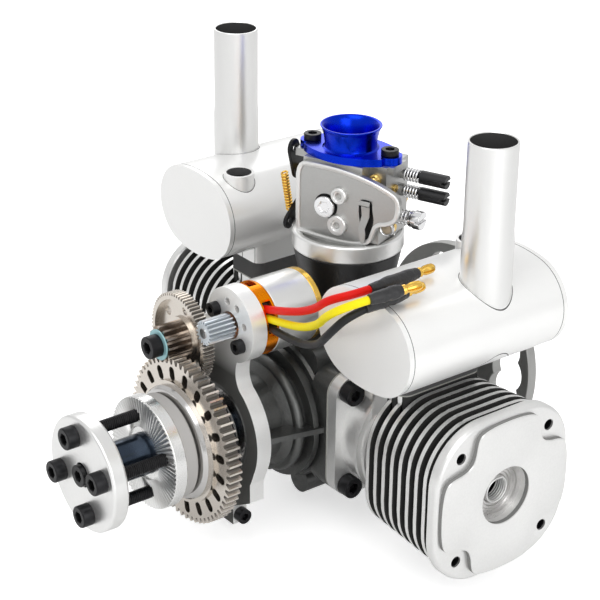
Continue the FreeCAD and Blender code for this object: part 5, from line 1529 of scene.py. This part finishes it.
@dataclass
class Carburettor(SubAssembly):
    """Intake, carburettor and velocity stack, drawn in the carburettor's own turned frame (u, v, z).

    Attributes:
        turn: Turn about the upright axis, in degrees.
        centre_y: Place of the throat's axis along the crank.
        coils: Springs as (v, z, start, end, radius, wire, turns).
        washers: Places of the idle screw's washers along u.
        hook: Ends of the throttle spring.
        stack_sizes: Height of the flange and of the rim, radius of the bore and of the rim.
        stack_wall: Outside of the cup, as (radius, height over the flange) pairs.
        body_front: Place of the body's front face.
        cover_t: Thickness of the cover's border.
        border: Width of the border.
        screw_at: Place of the cover's screw as (u, z).
        bosses: Place and radius of each boss as (u, z, radius).
        cover_edge: Corners of the cover's outline, anticlockwise.
        pocket_edge: Corners of its pocket.
        plug_at: Place of the brass plug.
        seat_at: Place of the chrome seat.
        clip: Levels of the cover's clip, as (z, left, right, v).
    """

    turn: float = 22.0
    centre_y: float = -63.8
    coils: tuple[tuple[float, ...], ...] = (
        (6.0, 92.2, 20.6, 27.3, 2.25, 0.42, 5.5), (6.0, 85.5, 20.6, 27.3, 2.25, 0.42, 5.5),
        (-4.0, 79.1, 22.1, 28.6, 2.5, 0.42, 4.5))
    washers: Spot = (28.8, 29.7)
    hook: tuple[Point, Point] = ((-25.5, -2.0, 70.5), (-25.5, -6.4, 87.4))
    stack_sizes: tuple[float, ...] = (101.0, 110.0, 8.2, 11.8)
    stack_wall: tuple[Spot, ...] = ((10.9, -1.0), (10.9, 0), (10.1, 0.5), (9.95, 1.2), (10.1, 3.0),
                                    (10.45, 5.0), (10.9, 6.8), (11.35, 8.0))
    body_front: float = -11.5
    cover_t: float = 2.5
    border: float = 1.7
    screw_at: Spot = (-2.8, 80.7)
    bosses: tuple[Point, ...] = ((3.1, 86.1, 3.3), (2.5, 74.1, 4.0))
    cover_edge: tuple[Spot, ...] = (
        (-15.9, 96.6), (-15.9, 82), (-15.9, 68.6), (-14, 67.6), (-6, 66.6), (4, 66.4), (11, 67), (17, 69.6),
        (18.4, 74), (19.6, 77), (24.0, 78), (27.4, 80.2), (28.6, 83.4), (28.7, 87.6), (27.4, 90.6),
        (21.8, 93.0), (14.4, 95.2), (3, 97), (-8, 97.2))
    pocket_edge: tuple[Spot, ...] = (
        (11.3, 86.6), (11.2, 80), (12.2, 76.4), (11.4, 72), (12.4, 69.4), (15.6, 70.6), (16.6, 74.5),
        (18.0, 78.6), (17.0, 83), (17.0, 86.6))
    plug_at: Point = (14.6, -6.4, 92.6)
    seat_at: Point = (21.4, -8.6, 75.4)
    clip: tuple[tuple[float, ...], ...] = (
        (86.3, 11.7, 16.4, -14.4), (84.6, 11.7, 16.4, -14.6), (83.9, 12.4, 16.1, -13.7),
        (80.0, 12.6, 15.9, -13.4), (77.6, 12.2, 15.2, -13.8), (75.4, 11.8, 14.6, -14.5),
        (73.0, 12.0, 15.0, -14.7), (70.6, 12.8, 14.9, -14.9), (69.4, 13.4, 14.4, -14.9))

    def place(self) -> Matrix:
        """Return the matrix from the carburettor's frame to the engine's, in metres."""
        turn = Matrix.Rotation(math.radians(self.turn), 4, "Z")
        return Matrix.Translation((0, self.centre_y * MM, 0)) @ turn

    def at(self, u: float, v: float, z: float) -> Vector:
        """Return where a point of the carburettor's frame is in the engine's."""
        return self.place() @ (Vector((u, v, z)) * MM) / MM

    def way(self, u: float, v: float) -> Vector:
        """Return a level direction of the carburettor's frame in the engine's."""
        return self.at(u, v, 0) - self.at(0, 0, 0)

    def cover(self) -> None:
        """Make the cover: a sheet with a raised border, a pocket, a screw well and two ringed bosses. The
        border and the bosses are coloured brighter as painted highlight, and a black sheet under the cover
        stands for painted shade.
        """
        out = self.way(0, -1)
        facing = Matrix((self.way(1, 0), UP, out)).transposed().to_4x4()
        place = Matrix.Translation(self.at(0, self.body_front, 0)) @ facing
        edges = (self.cover_edge, self.pocket_edge)
        outline, pocket = (rounded([Vector(spot) for spot in edge]) for edge in edges)
        loops = [outline, pocket, ring_of(4.9, self.screw_at, 64)]
        thick, border = self.cover_t, self.border
        inner = shrunk(outline, border)
        sheet = pierced("cover_sheet", [(0.0, loops), (thick - 0.7, loops)], place)
        # The border is coloured brighter, as painted highlight.
        rim = pierced("cover_border", [
            (thick - 0.8, [outline, inner]), (thick - 0.2, [outline, inner]),
            (thick, [shrunk(outline, 0.25), shrunk(outline, border - 0.35)])], place)
        self.show(sheet, COVER, "carburettor_cover", angle=35)
        self.show(rim, COVER_HIGHLIGHT, angle=35)
        # A black sheet under the cover stands for painted shade, seen through the pocket and the screw well.
        depth = [shrunk(outline, 0.8)]
        self.show(pierced("cover_depth", [(0.02, depth), (0.12, depth)], place), BLACK_PLASTIC)
        # The bosses are coloured brighter too, as painted highlight.
        for i, (u, z, radius) in enumerate(self.bosses):
            foot = self.at(u, self.body_front - thick + 0.9, z)
            profile = [(1.4, 0), (radius, 0), (radius, 1.5), (radius - 0.35, 1.9), (2.3, 1.9), (2.0, 1.5),
                       (1.4, 1.4)]
            self.show(turned("cover_boss_%d" % i, profile, foot, out, 64), COVER_HIGHLIGHT, angle=35)

    def flatten(self, shape: Shape) -> None:
        """Cut the cup off the stack's flange.

        Args:
            shape: The CAD node's welded triangles, changed in place.
        """
        cut_off(shape, (0, 0, self.stack_sizes[0] + 0.02), (0, 0, 1))

    def stack(self) -> None:
        """Keep the stack's flange and turn its cup anew."""
        seat, top, bore, rim = self.stack_sizes
        self.keep("velocity_stack", BLUE, 0.3, self.flatten)
        profile = [(bore, seat - 1.0)] + [(r, seat + height) for r, height in self.stack_wall]
        profile += [(rim, top - 0.4), (rim, top - 0.15), (rim - 0.15, top)]
        for turn in (math.pi / 2 * i / 14 for i in range(15)):
            profile.append((bore + 3.1 * (1 - math.sin(turn)), top - 7.5 * math.sin(turn) ** 2))
        self.show(turned("stack_cup", profile, self.at(0, 0, 0), UP, 128), BLUE, angle=40)

    def springs(self, coil: Coil) -> None:
        """Wind the needle springs and the throttle return spring.

        Args:
            coil: Tree that winds them.
        """
        right = self.way(1, 0)
        parts = []
        for v, z, start, end, radius, wire, turns in self.coils:
            foot = self.at(start, v, z)
            parts.append(coil.wind("needle_coil", foot, right, end - start, turns, radius, wire, CHROME))
        washer = [(1.3, 0), (3.2, 0), (3.2, 0.6), (1.3, 0.6)]
        parts += [turned("washer", washer, self.at(start, v, z), right, 40) for start in self.washers]
        self.show(join("needle_coils", parts), CHROME, "needle_springs", angle=50)
        low, high = (self.at(*point) for point in self.hook)
        way = high - low
        spring = coil.wind("return_spring", low, way, way.length, 13.0, 1.15, 0.42, GOLD, steps=28)
        self.show(spring, GOLD, "throttle_spring", angle=50)

    def trim(self) -> None:
        """Add the brass plug, the cover's clip and the chrome seat behind it."""
        plug = [(0.3, 0), (2.3, 0), (2.3, 1.2), (1.7, 1.6), (1.5, 2.6), (0.7, 3.4), (0.3, 3.4)]
        seat = [(2.0, 0), (3.0, 0.2), (3.1, 1.4), (2.7, 1.8), (2.1, 1.5)]
        core = [(0.2, 0), (1.95, 0), (1.95, 1.1), (1.2, 1.5), (0.2, 1.6)]
        for name, profile, at, steps, finish, angle in (
                ("brass_plug", plug, self.plug_at, 24, BRASS, 32),
                ("chrome_seat", seat, self.seat_at, 48, CHROME, 60),
                ("beige_seat", core, self.seat_at, 32, BEIGE, 60)):
            self.show(turned(name, profile, self.at(*at), self.way(0, -1), steps), finish, angle=angle)
        strip = bmesh.new()
        rows = [[strip.verts.new(self.at(u, v, z) * MM) for u in (a, (a + b) / 2, b)]
                for z, a, b, v in self.clip]
        for high, low in zip(rows, rows[1:]):
            for i in range(2):
                strip.faces.new((high[i], low[i], low[i + 1], high[i + 1]))
        clip = new_piece("cover_clip", strip)
        clip.modifiers.new("thickness", "SOLIDIFY").thickness = 0.5 * MM
        soften(clip, 0.12)
        self.show(clip, COVER, angle=32)

    def build(self, coil: Coil) -> None:
        """Build the intake and the whole carburettor.

        Args:
            coil: Tree that winds the springs.
        """
        dress(self.frame["nodes"]["reed_block"], BLACK_PLASTIC)
        self.keep_all(("intake_manifold", CASTING, 0.5), ("intake_insulator", BLACK_PLASTIC, 0.5),
                      ("intake_tray", TURNED, 0.7), ("carburettor_body", CARB, 0.5))
        self.cover()
        self.keep_all(("cover_screw", CHROME, 0.3), ("fuel_nipple", BRASS, 0.1),
                      ("needle_high", BLACK_PLASTIC, 0.3), ("needle_low", BLACK_PLASTIC, 0.3),
                      ("idle_screw", CHROME, 0.35),
                      ("throttle_arm", BLACK_OXIDE, 0.2), ("choke_arm", BLACK_OXIDE, 0.2),
                      ("throttle_valve", BRASS, 0.1), ("choke_valve", BRASS, 0.1))
        self.stack()
        self.keep("stack_screws", BLACK_OXIDE, 0.6)
        self.springs(coil)
        self.trim()


def main() -> None:
    """Build the studio and every sub-assembly in order."""
    logging.basicConfig(level=logging.INFO, format="%(message)s")
    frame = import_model()
    Studio().build()
    coil, radial = Coil(), Repeat()
    Crankcase(frame).build()
    Cylinders(frame).build(coil)
    Exhaust(frame).build()
    PropellerDrive(frame).build(coil, radial)
    StarterGears(frame).build()
    StarterMotor(frame).build()
    Carburettor(frame).build(coil)


if __name__ == "__main__":
    main()
